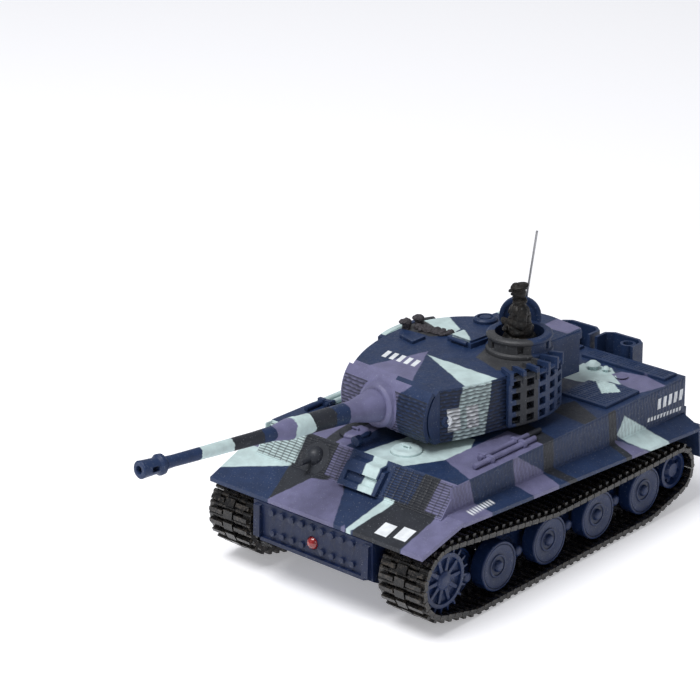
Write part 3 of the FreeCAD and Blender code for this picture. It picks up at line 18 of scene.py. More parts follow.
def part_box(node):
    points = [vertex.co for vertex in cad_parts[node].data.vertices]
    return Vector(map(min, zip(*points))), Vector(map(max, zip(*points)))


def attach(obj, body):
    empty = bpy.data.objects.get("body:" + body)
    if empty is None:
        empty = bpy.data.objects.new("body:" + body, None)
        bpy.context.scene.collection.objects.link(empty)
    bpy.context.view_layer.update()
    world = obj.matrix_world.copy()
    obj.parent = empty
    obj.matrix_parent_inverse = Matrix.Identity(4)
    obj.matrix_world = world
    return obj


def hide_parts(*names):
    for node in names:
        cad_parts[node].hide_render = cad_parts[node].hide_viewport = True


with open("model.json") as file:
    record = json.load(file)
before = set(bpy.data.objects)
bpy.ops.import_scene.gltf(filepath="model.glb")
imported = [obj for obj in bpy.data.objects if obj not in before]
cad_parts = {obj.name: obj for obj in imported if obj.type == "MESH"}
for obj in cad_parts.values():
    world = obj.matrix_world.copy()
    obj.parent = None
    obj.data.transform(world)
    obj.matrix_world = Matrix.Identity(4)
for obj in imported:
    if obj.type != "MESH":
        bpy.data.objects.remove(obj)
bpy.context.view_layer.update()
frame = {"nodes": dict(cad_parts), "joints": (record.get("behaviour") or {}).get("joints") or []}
nodes = frame["nodes"]
joints = {j["name"]: j for j in frame["joints"]}
MM = 0.001

# ---------------------------------------------------------------- places, from the frame
turret_axis = Vector(joints["turret_yaw"]["pos_m"])     # on the deck's surface
trunnion = Vector(joints["gun_elevation"]["pos_m"])
trunnion_axis = Vector(joints["gun_elevation"]["axis"])
turret_ahead = 2.4                                      # turret axis behind the hull's middle
gun_rest_elevation = math.radians(4.5)
hull_origin = Vector((0, turret_axis.y - turret_ahead * MM, 0))
turret_yaw = math.atan2(-trunnion_axis.y, -trunnion_axis.x)
turret_turn = Matrix.Rotation(turret_yaw, 4, "Z")
gun_turn = Matrix.Rotation(gun_rest_elevation, 4, trunnion_axis)


def hull(x, y, z):
    return Vector((x, y, z)) * MM + hull_origin


def turret(x, y, z):
    turned = turret_turn @ (Vector((x, y, 0)) * MM)
    return Vector((turned.x, turned.y + turret_axis.y, z * MM))


def gun(x, y, z):
    return gun_turn @ (turret(x, y, z) - trunnion) + trunnion


deck_z = turret_axis.z / MM
hull_half_width = 22.3
roof_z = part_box("turret_shell")[1].z / MM
turret_foot_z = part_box("turret_shell")[0].z / MM


def add_object(name, data):
    obj = bpy.data.objects.new(name, data)
    bpy.context.scene.collection.objects.link(obj)
    return obj


# ---------------------------------------------------------------- camera
azimuth, elevation, roll = math.radians(42.72), math.radians(21.26), math.radians(-0.68)
camera_distance = 483.75
camera_target = hull(-19.53, -8.52, 33.57)


def make_camera():
    back = Vector((math.sin(azimuth) * math.cos(elevation), -math.cos(azimuth) * math.cos(elevation),
                   math.sin(elevation)))
    level = Vector((math.cos(azimuth), math.sin(azimuth), 0))
    up = back.cross(level)
    right = level * math.cos(roll) + up * math.sin(roll)
    up = back.cross(right)
    data = bpy.data.cameras.new("camera")
    data.sensor_width = 36
    data.lens = 133.9
    data.clip_start, data.clip_end = 0.01, 20
    camera = add_object("camera", data)
    turn = Matrix((right, up, back)).transposed().to_4x4()
    camera.matrix_world = Matrix.Translation(camera_target + back * camera_distance * MM) @ turn
    bpy.context.scene.camera = camera


# ---------------------------------------------------------------- colours
def tone(red, green, blue):
    """A colour given on the usual 0 to 255 display scale, as the shaders want it."""
    def linear(value):
        value /= 255
        return value / 12.92 if value <= 0.04045 else ((value + 0.055) / 1.055) ** 2.4
    return (linear(red), linear(green), linear(blue), 1)


navy = tone(32, 50, 84)
purple = tone(108, 107, 140)
mint = tone(192, 212, 212)
charcoal = tone(40, 43, 50)
white = tone(236, 240, 244)
wheel_blue = tone(22, 40, 78)
# the wheels' blue made darker for the lower hull: painted shade
tub_blue_shaded = tone(16, 30, 62)
net_brown = tone(66, 62, 68)
olive = tone(60, 61, 64)


# ---------------------------------------------------------------- shader building
class Shader:
    """A material's node tree, with short calls that take numbers or sockets alike."""

    def __init__(self, name):
        self.material = bpy.data.materials.new(name)
        self.material.use_nodes = True
        self.tree = self.material.node_tree
        self.surface = self.tree.nodes["Principled BSDF"]
        coordinates = self.tree.nodes.new("ShaderNodeTexCoord").outputs["Object"]
        shifted = self.vector("SUBTRACT", coordinates, tuple(hull_origin))
        self.place = self.vector("SCALE", shifted, scale=1 / MM)      # hull frame, millimetres

    def feed(self, socket, value):
        if isinstance(value, bpy.types.NodeSocket):
            self.tree.links.new(value, socket)
        elif value is not None:
            socket.default_value = value

    def math(self, operation, a, b=None, c=None, clamp=False):
        node = self.tree.nodes.new("ShaderNodeMath")
        node.operation = operation
        node.use_clamp = clamp
        for socket, value in zip(node.inputs, (a, b, c)):
            self.feed(socket, value)
        return node.outputs[0]

    def vector(self, operation, a, b=None, scale=None):
        node = self.tree.nodes.new("ShaderNodeVectorMath")
        node.operation = operation
        self.feed(node.inputs[0], a)
        self.feed(node.inputs[1], b)
        if scale is not None:
            node.inputs["Scale"].default_value = scale
        return node.outputs["Value" if operation in ("DOT_PRODUCT", "LENGTH") else "Vector"]

    def split(self, vector):
        node = self.tree.nodes.new("ShaderNodeSeparateXYZ")
        self.feed(node.inputs[0], vector)
        return node.outputs

    def combine(self, x, y, z):
        node = self.tree.nodes.new("ShaderNodeCombineXYZ")
        for socket, value in zip(node.inputs, (x, y, z)):
            self.feed(socket, value)
        return node.outputs[0]

    def ramp(self, value, low, high, out_low=0.0, out_high=1.0, smooth=True):
        node = self.tree.nodes.new("ShaderNodeMapRange")
        node.interpolation_type = "SMOOTHSTEP" if smooth else "LINEAR"
        for socket, number in zip(node.inputs, (value, low, high, out_low, out_high)):
            self.feed(socket, number)
        return node.outputs[0]

    def mix(self, factor, a, b, blend="MIX"):
        node = self.tree.nodes.new("ShaderNodeMix")
        node.data_type = "RGBA"
        node.blend_type = blend
        self.feed(node.inputs[0], factor)
        self.feed(node.inputs[6], a)
        self.feed(node.inputs[7], b)
        return node.outputs[2]

    def noise(self, scale, detail=3.0, roughness=0.5, stretch=None):
        """Noise over the piece; scale is in features per millimetre."""
        node = self.tree.nodes.new("ShaderNodeTexNoise")
        node.inputs["Scale"].default_value = scale
        node.inputs["Detail"].default_value = detail
        node.inputs["Roughness"].default_value = roughness
        source = self.place if stretch is None else self.vector("MULTIPLY", self.place, stretch)
        self.feed(node.inputs["Vector"], source)
        return node.outputs["Fac"]

    def noise_colour(self, scale):
        """Three unrelated noises at once, as a colour."""
        node = self.tree.nodes.new("ShaderNodeTexNoise")
        node.inputs["Scale"].default_value = scale
        node.inputs["Detail"].default_value = 2.0
        self.feed(node.inputs["Vector"], self.place)
        return node.outputs["Color"]

    def grey(self, value):
        return self.combine(value, value, value)

    def pointiness(self):
        """Half on flat ground, more on ridges and less in hollows."""
        return self.tree.nodes.new("ShaderNodeNewGeometry").outputs["Pointiness"]

    def bump(self, height, distance, strength=1.0):
        """Height in millimetres, as a normal."""
        node = self.tree.nodes.new("ShaderNodeBump")
        node.inputs["Distance"].default_value = distance * MM
        node.inputs["Strength"].default_value = strength
        self.feed(node.inputs["Height"], height)
        self.feed(self.surface.inputs["Normal"], node.outputs[0])

    def polygon(self, flat, points, soft):
        """1 inside a convex outline, 0 outside; flat is (u, v, 1) and points are (u, v)."""
        turn = sum(a[0] * b[1] - b[0] * a[1] for a, b in zip(points, points[1:] + points[:1]))
        if turn < 0:
            points = points[::-1]
        inside = None
        for (u0, v0), (u1, v1) in zip(points, points[1:] + points[:1]):
            length = math.hypot(u1 - u0, v1 - v0)
            a, b = (v0 - v1) / length, (u1 - u0) / length
            edge = self.vector("DOT_PRODUCT", flat, (a, b, -(a * u0 + b * v0)))
            inside = edge if inside is None else self.math("MINIMUM", inside, edge)
        return self.ramp(inside, -soft, soft)


# ---------------------------------------------------------------- camouflage
# Each zone is part of the painted surface and is seen flat along one axis.
# A patch is (zone, colour, outline); a later patch lies over an earlier one.
side_bottom = 10.0
patches = [
    # left side of the hull, (y, z)
    ("left", purple, [(-40, 30), (-23.2, 30), (-22.2, 19), (-21.0, 15), (-22, side_bottom),
                      (-40, side_bottom)]),
    ("left", purple, [(-12.2, 26), (-2.5, 26), (-3.2, 19.4), (4.2, 14.2), (2, side_bottom), (-8, side_bottom),
                      (-11.2, 19.6)]),
    ("left", charcoal, [(-3.4, 26), (-0.3, 26), (-0.4, 19.3), (-3.2, 19.3)]),
    ("left", charcoal, [(-3.2, 19.4), (-0.4, 19.4), (4.2, 14.6), (3.4, 14.2)]),
    ("left", charcoal, [(15.6, 26), (17.7, 26), (19.3, 13.6), (16.8, 13.6)]),
    ("left", purple, [(18.0, 18.6), (21.8, 16.6), (27.4, 12.4), (24, side_bottom), (18.8, side_bottom)]),
    ("left", mint, [(22.0, 24.4), (27.4, 18.1), (36.4, 12.2), (27.0, 12.2), (21.8, 16.6), (18.0, 18.6)]),
    # right side of the hull, (y, z)
    ("right", purple, [(-31, 30), (-27, 30), (-21, side_bottom), (-29, side_bottom)]),
    ("right", mint, [(-24, 26), (-15, 26), (-10.5, side_bottom), (-17, side_bottom)]),
    ("right", charcoal, [(-13.2, 26), (-10.4, 26), (-6.6, side_bottom), (-9.6, side_bottom)]),
    ("right", purple, [(1.5, 26), (12.6, 26), (16.8, 19.0), (11.4, side_bottom), (0.2, side_bottom)]),
    ("right", charcoal, [(12.6, 26), (16.0, 26), (19.0, 19.0), (14.2, side_bottom), (11.6, side_bottom)]),
    ("right", mint, [(29.4, 26), (36.0, 26), (31.6, side_bottom), (23.4, side_bottom)]),
    # deck, (x, y)
    ("deck", mint, [(0.4, -27), (9.8, -27), (15.6, -16.6), (11.6, -9.5), (2.0, -14.5)]),
    ("deck", purple, [(-12, -27), (-3.8, -27), (-5.0, -12), (-16, -12)]),
    ("deck", charcoal, [(-8.8, -27), (-6.4, -27), (-8, -12), (-12, -12)]),
    ("deck", purple, [(13.6, -20), (23, -24), (23, -2.5), (13.6, -2.5)]),
    ("deck", charcoal, [(13.6, -2.6), (23, -3.4), (23, -0.2), (13.6, 2.4)]),
    ("deck", mint, [(-23, -16), (-15.4, -13), (-14.8, 1.5), (-23, 5.5)]),
    ("deck", charcoal, [(-23, 12), (-15, 10), (-13, 16), (-23, 21)]),
    ("deck", charcoal, [(12.4, 10), (23, 8.6), (23, 12.2), (14, 16.4)]),
    ("deck", mint, [(3.0, 24), (8.2, 24.4), (12.6, 26.0), (15.6, 28.6), (9.2, 34.0), (3.6, 32.6)]),
    ("deck", mint, [(10.6, 26.8), (15.3, 26.8), (18.6, 24.4), (16.2, 21.6)]),
    ("deck", purple, [(11.0, 31.6), (15.5, 28.7), (20.8, 27.4), (22.4, 33.4), (16.8, 35.0), (11.8, 33.8)]),
    ("deck", purple, [(-9, 22), (-22, 25), (-22, 33), (-9, 29)]),
    # driver's plate, (x, z)
    ("plate", purple, [(18.8, 30), (23, 30), (23, 15), (17.6, 15)]),
    ("plate", charcoal, [(15.6, 30), (19.0, 30), (17.8, 15), (13.8, 15)]),
    ("plate", purple, [(-5.6, 30), (-2.6, 30), (-1.0, 15), (-5.2, 15)]),
    ("plate", charcoal, [(-13.6, 30), (-5.4, 30), (-5.4, 15), (-12.6, 15)]),
    ("plate", mint, [(-23, 30), (-13.4, 30), (-12.4, 15), (-23, 15)]),
    ("plate", mint, [(2.4, 30), (5.6, 30), (7.4, 15), (4.0, 15)]),
    # front fender, (x, y)
    ("fender", charcoal, [(-14.5, -29), (3.4, -29), (-1.0, -41), (-10.4, -41)]),
    ("fender", purple, [(-7.4, -32.2), (-1.2, -30.6), (8.8, -41), (-11.4, -41)]),
    ("fender", navy, [(-1.4, -29), (9.6, -29), (9.2, -33.6), (6.4, -41), (5.6, -41)]),
    ("fender", mint, [(-27, -28), (-12.2, -28), (-13.4, -31.2), (-26.6, -37.4)]),
    ("fender", mint, [(9.4, -29), (12.2, -29), (9.3, -39.6), (7.8, -41)]),
    ("fender", charcoal, [(12.0, -29), (21.4, -29), (20.4, -41), (9.4, -41), (9.6, -38.6)]),
    ("fender", purple, [(21.0, -29), (28, -29), (28, -41), (20.6, -41)]),
    # roof of the turret, (x, y)
    ("roof", purple, [(-3.7, -4.6), (-7.0, -15.8), (-8.0, -21), (5.4, -21), (3.4, -17.1)]),
    ("roof", mint, [(-2.6, -6.0), (15.4, -6.8), (13.0, -13.6)]),
    ("roof", olive, [(-16.6, 1.0), (-17.0, 8.4), (-7.4, 4.8), (-6.6, 3.4), (-8.4, 1.4)]),
    ("roof", mint, [(-17.4, 8.0), (-15.1, 13.2), (-6.6, 7.9), (-6.2, 3.9)]),
    ("roof", mint, [(-6.4, 8.0), (-3.2, 5.4), (0.4, 4.4), (0.6, 2.0), (-3.7, 2.3), (-6.4, 3.9)]),
    ("roof", olive, [(3.2, 3.4), (4.8, -1.2), (11.6, -3.6), (14.8, -1.4), (15.6, 4.0), (5.6, 6.0)]),
    ("roof", mint, [(4.4, 19.6), (11, 16.4), (12, 26), (4.4, 26)]),
    # walls of the turret, seen from the side, (y, z)
    ("wall_left", mint, [(-13.6, 37), (-7.8, 37), (-9.6, 25), (-15.8, 25)]),
    ("wall_left", charcoal, [(-4.0, 37), (0.9, 37), (0.9, 25), (-4.0, 25)]),
    ("wall_right", purple, [(-22, 37), (-12, 37), (-9.4, 25), (-22, 25)]),
    ("wall_right", mint, [(-3.2, 37), (3.0, 37), (7.2, 25), (0.6, 25)]),
    ("wall_right", charcoal, [(7.0, 37), (10.4, 37), (12.6, 25), (8.6, 25)]),
    ("bin_back", mint, [(-9, 37), (-2.8, 37), (-5.4, 25), (-9, 25)]),
    ("bin_back", purple, [(3.0, 37), (9.6, 37), (9.6, 31), (5.4, 29)]),
]


# Plain marks in white: a pair of blocks and rows of short slanted bars.
def bar_row(zone, start, step, width, size, count, slant, lean=0.0):
    """A row of short slanted bars along u; lean raises each one above the last."""
    bars = []
    for i in range(count):
        u, v = start[0] + i * step, start[1] + i * lean
        outline = [(u, v), (u + width, v), (u + width + slant, v + size), (u + slant, v + size)]
        bars.append((zone, white, outline))
    return bars


marks = (
    bar_row("left", (31.0, 20.5), 1.72, 1.0, 2.1, 5, 0.25, -0.06)
    + bar_row("left", (28.0, 18.9), 1.0, 0.62, 0.75, 11, 0.1, -0.08)
    + bar_row("left", (-26.0, 19.45), 0.8, 0.5, 0.24, 9, 0.05, -0.03)
    + bar_row("fender", (13.4, -38.6), 3.9, 2.7, 3.0, 2, 0.0, 0.5)
    + bar_row("roof", (-8.6, -12.0), 1.75, 1.0, 2.9, 5, -0.9, 0.0)
    + bar_row("wall_left", (-16.4, 28.0), 3.5, 2.3, 4.4, 2, -0.2)
    + bar_row("wall_right", (-12.4, 28.4), 3.5, 2.3, 4.4, 2, 0.2)
)
zones_of_frame = {"left": ("y", "z"), "right": ("y", "z"), "deck": ("x", "y"), "plate": ("x", "z"),
                  "fender": ("x", "y"), "roof": ("x", "y"), "wall_left": ("y", "z"),
                  "wall_right": ("y", "z"), "bin_back": ("x", "z")}


# borders between the zones, hull frame
border_slack = 0.03     # a surface counts as its zone's from this far inside
plate_back_y = -26.0
fender_back_y = -29.8
fender_top_z = 19.95
bin_back_y = 19.5


def zone_mask(s, zone):
    """1 where the surface belongs to the zone, from its place alone."""
    x, y, z = s.xyz
    if zone == "left":
        return s.math("GREATER_THAN", x, hull_half_width - border_slack)
    if zone == "right":
        return s.math("LESS_THAN", x, -hull_half_width + border_slack)
    if zone == "deck":
        inside = s.math("LESS_THAN", s.math("ABSOLUTE", x), hull_half_width - border_slack)
        return s.math("MULTIPLY", inside, s.math("GREATER_THAN", z, deck_z - border_slack))
    if zone == "plate":
        low = s.math("LESS_THAN", z, deck_z - border_slack)
        front = s.math("MULTIPLY", low, s.math("LESS_THAN", y, plate_back_y))
        return s.math("MULTIPLY", front, s.math("GREATER_THAN", z, fender_top_z))
    if zone == "fender":
        return s.math("MULTIPLY", s.math("LESS_THAN", z, fender_top_z),
                      s.math("LESS_THAN", y, fender_back_y))
    if zone == "roof":
        return s.math("GREATER_THAN", z, roof_z - border_slack)
    if zone == "bin_back":
        return s.math("GREATER_THAN", y, bin_back_y)
    low = s.math("LESS_THAN", z, roof_z - border_slack)
    side = s.math("GREATER_THAN" if zone == "wall_left" else "LESS_THAN", x, 0.0)
    return s.math("MULTIPLY", low, side)


def camouflage(s, zones, base=navy):
    """Colour of the paint: patches over the base, with slightly soft sprayed edges."""
    s.xyz = s.split(s.place)
    sway = s.vector("SCALE", s.vector("SUBTRACT", s.noise_colour(0.55), (0.5, 0.5, 0.5)), scale=0.5)
    swayed = dict(zip("xyz", s.split(s.vector("ADD", s.place, sway))))
    exact = dict(zip("xyz", s.xyz))
    colour = base
    for zone in zones:
        mask = zone_mask(s, zone)
        for group, where, soft in ((patches, swayed, 0.16), (marks, exact, 0.06)):
            u, v = (where[axis] for axis in zones_of_frame[zone])
            flat = s.combine(u, v, 1.0)
            for name, paint, outline in group:
                if name == zone:
                    cover = s.math("MULTIPLY", s.polygon(flat, outline, soft), mask)
                    colour = s.mix(cover, colour, paint)
    return colour


def finish_paint(s, colour, gloss=0.46, grain=0.035):
    """Satin sprayed paint: faint mottling, painted shade in the grooves, grain in the gloss."""
    mottle = s.ramp(s.noise(0.35, 4.0, 0.6), 0.3, 0.7, 0.86, 1.1)
    colour = s.mix(1.0, colour, s.grey(mottle), "MULTIPLY")
    speck = s.ramp(s.noise(3.2, 2.0), 0.62, 0.76, 0.0, 0.16)
    colour = s.mix(speck, colour, tone(208, 214, 222))
    # painted shade: darker in the grooves and recesses that each mesh marks
    groove_shade = s.tree.nodes.new("ShaderNodeAttribute")
    groove_shade.attribute_name = "groove_shade"
    colour = s.mix(s.math("MULTIPLY", groove_shade.outputs["Fac"], 0.86), colour, tone(14, 18, 28))
    s.feed(s.surface.inputs["Base Color"], colour)
    s.feed(s.surface.inputs["Roughness"], s.ramp(s.noise(1.4, 3.0), 0.25, 0.75, gloss - 0.07, gloss + 0.1))
    s.surface.inputs["Specular IOR Level"].default_value = 0.36
    s.bump(s.noise(5.0, 3.0, 0.6), grain)
    return s.material


materials = {}          # made once each, by name


def paint(name, zones, base=navy):
    if name not in materials:
        s = Shader(name)
        materials[name] = finish_paint(s, camouflage(s, zones, base))
    return materials[name]


def hull_paint():
    return paint("hull_camouflage", ("left", "right", "deck", "plate", "fender"))


def turret_paint():
    return paint("turret_camouflage", ("wall_left", "wall_right", "roof", "bin_back"))


collar_centre = (-1.65, 31.3)   # of the gun's collar, hull frame, x and z


def mantlet_paint():
    """Purple over the tank's right, the collar and the top, navy on its left."""
    if "mantlet_camouflage" in materials:
        return materials["mantlet_camouflage"]
    s = Shader("mantlet_camouflage")
    x, _, z = s.split(s.place)
    swayed = s.math("ADD", x, s.math("MULTIPLY", s.noise(0.8), 0.8))
    lean = s.math("MULTIPLY", s.math("MAXIMUM", s.math("SUBTRACT", z, 34.4), 0.0), 1.1)
    left = s.ramp(s.math("SUBTRACT", swayed, lean), 3.3, 3.7)
    off_axis = s.combine(s.math("SUBTRACT", x, collar_centre[0]), 0.0,
                         s.math("SUBTRACT", z, collar_centre[1]))
    collar = s.ramp(s.vector("LENGTH", off_axis), 4.8, 4.6)
    colour = s.mix(s.math("SUBTRACT", left, collar, clamp=True), purple, navy)
    materials["mantlet_camouflage"] = finish_paint(s, colour)
    return materials["mantlet_camouflage"]


# each band starts this far in front of the trunnions
barrel_bands = [(15.9, navy), (19.4, charcoal), (24.6, mint), (29.0, purple), (33.0, navy), (35.8, charcoal),
                (42.6, mint), (49.8, navy)]


def barrel_paint():
    """Bands along the barrel, counted from the trunnions."""
    s = Shader("barrel_camouflage")
    ahead = gun(0, -1, 0) - gun(0, 0, 0)
    along = s.vector("DOT_PRODUCT", s.vector("SUBTRACT", s.place, tuple((trunnion - hull_origin) / MM)),
                     tuple(ahead.normalized()))
    sway = s.math("MULTIPLY", s.math("SUBTRACT", s.noise(0.5), 0.5), 2.4)
    along = s.math("ADD", along, sway)
    colour = purple
    for end, band in barrel_bands:
        colour = s.mix(s.ramp(along, end - 0.12, end + 0.12), colour, band)
    return finish_paint(s, colour)


def plain_paint(name, colour, gloss=0.42, second=None):
    if name not in materials:
        s = Shader(name)
        if second is not None:
            colour = s.mix(s.ramp(s.noise(0.5, 4.0, 0.6), 0.42, 0.62), colour, second)
        materials[name] = finish_paint(s, colour, gloss)
    return materials[name]


def metal(name, colour, rough):
    s = Shader(name)
    brushed = s.noise(2.0, 4.0, 0.6, stretch=(1, 6, 6))
    s.feed(s.surface.inputs["Base Color"], s.mix(brushed, colour, tuple(c * 0.62 for c in colour[:3]) + (1,)))
    s.surface.inputs["Metallic"].default_value = 1.0
    s.feed(s.surface.inputs["Roughness"], s.ramp(brushed, 0.2, 0.8, rough, rough + 0.18))
    s.bump(brushed, 0.01)
    return s.material


def track_plastic():
    """Shiny black plastic with a thin brownish bloom, and a painted highlight of lighter brown on its raised
    edges.
    """
    s = Shader("track_plastic")
    bloom = s.ramp(s.noise(2.6, 4.0, 0.65), 0.5, 0.74)
    colour = s.mix(bloom, tone(11, 11, 13), tone(27, 25, 24))
    # painted highlight: lighter brown on the raised edges, in patches
    raised_edge_highlight = s.math("MULTIPLY", s.ramp(s.pointiness(), 0.52, 0.64), s.ramp(s.noise(1.9, 3.0), 0.45, 0.62))
    s.feed(s.surface.inputs["Base Color"], s.mix(raised_edge_highlight, colour, tone(62, 57, 52)))
    s.feed(s.surface.inputs["Roughness"], s.ramp(s.noise(4.0, 3.0), 0.3, 0.7, 0.2, 0.38))
    s.bump(s.noise(6.0, 3.0, 0.6), 0.04)
    return s.material


def red_lens():
    s = Shader("red_lens")
    s.feed(s.surface.inputs["Base Color"],
           s.mix(s.ramp(s.noise(1.0, 2.0), 0.3, 0.7), tone(150, 14, 16), tone(104, 8, 12)))
    s.surface.inputs["Roughness"].default_value = 0.12
    s.surface.inputs["Coat Weight"].default_value = 1.0
    s.surface.inputs["Coat Roughness"].default_value = 0.04
    s.surface.inputs["Subsurface Weight"].default_value = 0.12
    s.surface.inputs["Subsurface Radius"].default_value = (0.002, 0.0004, 0.0004)
    return s.material


# ---------------------------------------------------------------- dressing the CAD nodes
def round_edges(obj, width, angle=32):
    """Weld the faces, soften the sharp edges and keep flat faces flat."""
    weld = obj.modifiers.new("weld", "WELD")
    weld.merge_threshold = 0.002 * MM
    bevel = obj.modifiers.new("round_edges", "BEVEL")
    bevel.width = width * MM
    bevel.segments = 2
    bevel.limit_method = "ANGLE"
    bevel.angle_limit = math.radians(angle)
    normals = obj.modifiers.new("normals", "WEIGHTED_NORMAL")
    normals.keep_sharp = True
    for face in obj.data.polygons:
        face.use_smooth = True


def dress(names, material, rounding=0.0):
    for name in names:
        obj = nodes[name]
        obj.data.materials.clear()
        obj.data.materials.append(material)
        if rounding:
            round_edges(obj, rounding)


def dress_everything():
    dress(["upper_hull"], hull_paint(), 0.16)
    dress(["front_plate_fittings", "deck_hatches", "engine_grilles", "deck_vent_caps", "deck_tools"],
          hull_paint(), 0.07)
    dress(["exhausts", "rear_mudflaps"], plain_paint("exhaust_navy", navy), 0.08)
    dress(["turret_shell"], turret_paint(), 0.14)
    dress(["turret_bin"], turret_paint(), 0.18)
    dress(["cupola", "spare_track_racks", "roof_fittings", "cupola_hatch_lid"], turret_paint(), 0.08)
    dress(["turret_base"], plain_paint("base_navy", tone(38, 48, 74)))
    dress(["mantlet"], mantlet_paint(), 0.12)
    dress(["gun_barrel"], barrel_paint(), 0.05)
    # the lower hull in the darker blue, a painted shade
    dress(["lower_hull"], plain_paint("tub_blue_shaded", tub_blue_shaded, 0.4), 0.1)
    blue = plain_paint("wheel_blue", wheel_blue, 0.36)
    running = [n for n in nodes if n.startswith(("wheel_left", "wheel_right", "idler", "sprocket"))]
    dress(running, blue, 0.06)
    dress(["track_left", "track_right"], track_plastic())
    dress(["nose_led"], red_lens())
    dress(["antenna"], metal("spring_wire", tone(176, 176, 178), 0.28))
    dress(["wheel_axles", "case_screws"], metal("steel", tone(168, 170, 174), 0.3))
    dress(["drive_motors", "turret_motor"], metal("motor_can", tone(150, 152, 156), 0.36))
    gears = [n for n in nodes if n.startswith(("reduction", "motor_pinion", "turret_pinion"))]
    dress(gears, plain_paint("gear_white", tone(214, 212, 204), 0.35))
    dress(["battery_cells"], plain_paint("cell_wrap", tone(42, 104, 62), 0.3, tone(36, 92, 56)))
    dress(["receiver_board"], plain_paint("board_green", tone(22, 78, 44), 0.34, tone(16, 62, 38)))
    dress(["gearbox_frames", "charge_socket", "switch_housing", "switch_knob"],
          plain_paint("moulded_black", tone(34, 34, 36), 0.4, tone(44, 44, 46)), 0.05)


# ---------------------------------------------------------------- raised texture on the armour
def grid_piece(name, body, place, columns, rows, heights, material, depth=0.3):
    """A closed thin slab whose front follows heights; place(i, j) gives (point, outward normal)."""
    mesh = bpy.data.meshes.new(name)
    points, groove_shades = [], []
    for j in range(rows + 1):
        for i in range(columns + 1):
            point, normal = place(i, j)
            # heights gives the height and the darkness of the painted shade there
            height, groove_shade = heights(i, j)
            edge = i in (0, columns) or j in (0, rows)
            points.append(point + normal * ((-0.06 if edge else height) * MM))
            groove_shades.append(groove_shade)
    count = len(points)
    for j in range(rows + 1):
        for i in range(columns + 1):
            point, normal = place(i, j)
            points.append(point - normal * depth * MM)
            groove_shades.append(0.0)

    def at(i, j, back=0):
        return back * count + j * (columns + 1) + i

    faces = [(at(i, j), at(i + 1, j), at(i + 1, j + 1), at(i, j + 1))
             for j in range(rows) for i in range(columns)]
    faces += [(at(i, j + 1, 1), at(i + 1, j + 1, 1), at(i + 1, j, 1), at(i, j, 1))
              for j in range(rows) for i in range(columns)]
    for i in range(columns):
        faces.append((at(i, 0, 1), at(i + 1, 0, 1), at(i + 1, 0), at(i, 0)))
        faces.append((at(i, rows), at(i + 1, rows), at(i + 1, rows, 1), at(i, rows, 1)))
    for j in range(rows):
        faces.append((at(0, j), at(0, j + 1), at(0, j + 1, 1), at(0, j, 1)))
        faces.append((at(columns, j, 1), at(columns, j + 1, 1), at(columns, j + 1), at(columns, j)))
    mesh.from_pydata(points, [], faces)
    attribute = mesh.attributes.new("groove_shade", "FLOAT", "POINT")
    attribute.data.foreach_set("value", groove_shades)
    mesh.polygons.foreach_set("use_smooth", [True] * len(mesh.polygons))
    mesh.update()
    obj = add_object(name, mesh)
    bm = bmesh.new()
    bm.from_mesh(mesh)
    bmesh.ops.recalc_face_normals(bm, faces=bm.faces)
    bm.to_mesh(mesh)
    bm.free()
    obj.data.materials.append(material)
    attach(obj, body)
    return obj


def ridge(phase):
    """Profile of one trowelled ridge: a sharp lower lip that fades upwards."""
    return max(0.0, 1.0 - phase * 1.25) ** 0.8 if phase > 0.12 else phase / 0.12


def scalloped(u, v, pitch, run, seed):
    """Rows of short curved ridges, height 0 to 1."""
    wander = noise.noise(Vector((u * 0.35, v * 0.5, seed)))
    row = math.floor(v / pitch)
    stagger = 0.5 * (row % 2) + 0.6 * noise.noise(Vector((row * 3.7, u * 0.15, seed)))
    stroke = math.cos(2 * math.pi * (u / run + stagger))
    phase = (v / pitch + 0.07 * stroke + 0.22 * wander) % 1.0
    break_up = 0.74 + 0.26 * stroke
    return ridge(phase) * break_up * (0.8 + 0.4 * noise.noise(Vector((u * 1.3, v * 1.3, seed + 5))))


texture_step = 0.13     # grid of the raised texture, millimetres


def texture_panel(name, body, spot, wide, tall, relief, amplitude, material, blocked=None,
                  step=texture_step):
    """spot(u, v) gives (point, normal) for u along the panel and v up it."""
    columns, rows = max(2, round(wide / step)), max(2, round(tall / step))

    def place(i, j):
        return spot(wide * i / columns, tall * j / rows)

    def heights(i, j):
        u, v = wide * i / columns, tall * j / rows
        if blocked is not None and blocked(u, v):
            return -0.06, 0.0
        rise = relief(u, v)
        # painted shade: darker on the low ground between the ridges
        return 0.03 + amplitude * rise, max(0.0, 1.0 - rise * 1.6)

    return grid_piece(name, body, place, columns, rows, heights, material)


def arc_through(a, b, c):
    """Centre and radius of the circle through three points in plan."""
    d = 2 * (a[0] * (b[1] - c[1]) + b[0] * (c[1] - a[1]) + c[0] * (a[1] - b[1]))
    squares = [p[0] ** 2 + p[1] ** 2 for p in (a, b, c)]
    x = (squares[0] * (b[1] - c[1]) + squares[1] * (c[1] - a[1]) + squares[2] * (a[1] - b[1])) / d
    y = (squares[0] * (c[0] - b[0]) + squares[1] * (a[0] - c[0]) + squares[2] * (b[0] - a[0])) / d
    return x, y, math.hypot(a[0] - x, a[1] - y)


turret_radius = 15.4
turret_front_y = -19.4
turret_corner = {"left": (11.7, turret_front_y), "right": (-9.6, turret_front_y)}
turret_bulge = {"left": (14.7, -9.6), "right": (-13.9, -9.6)}


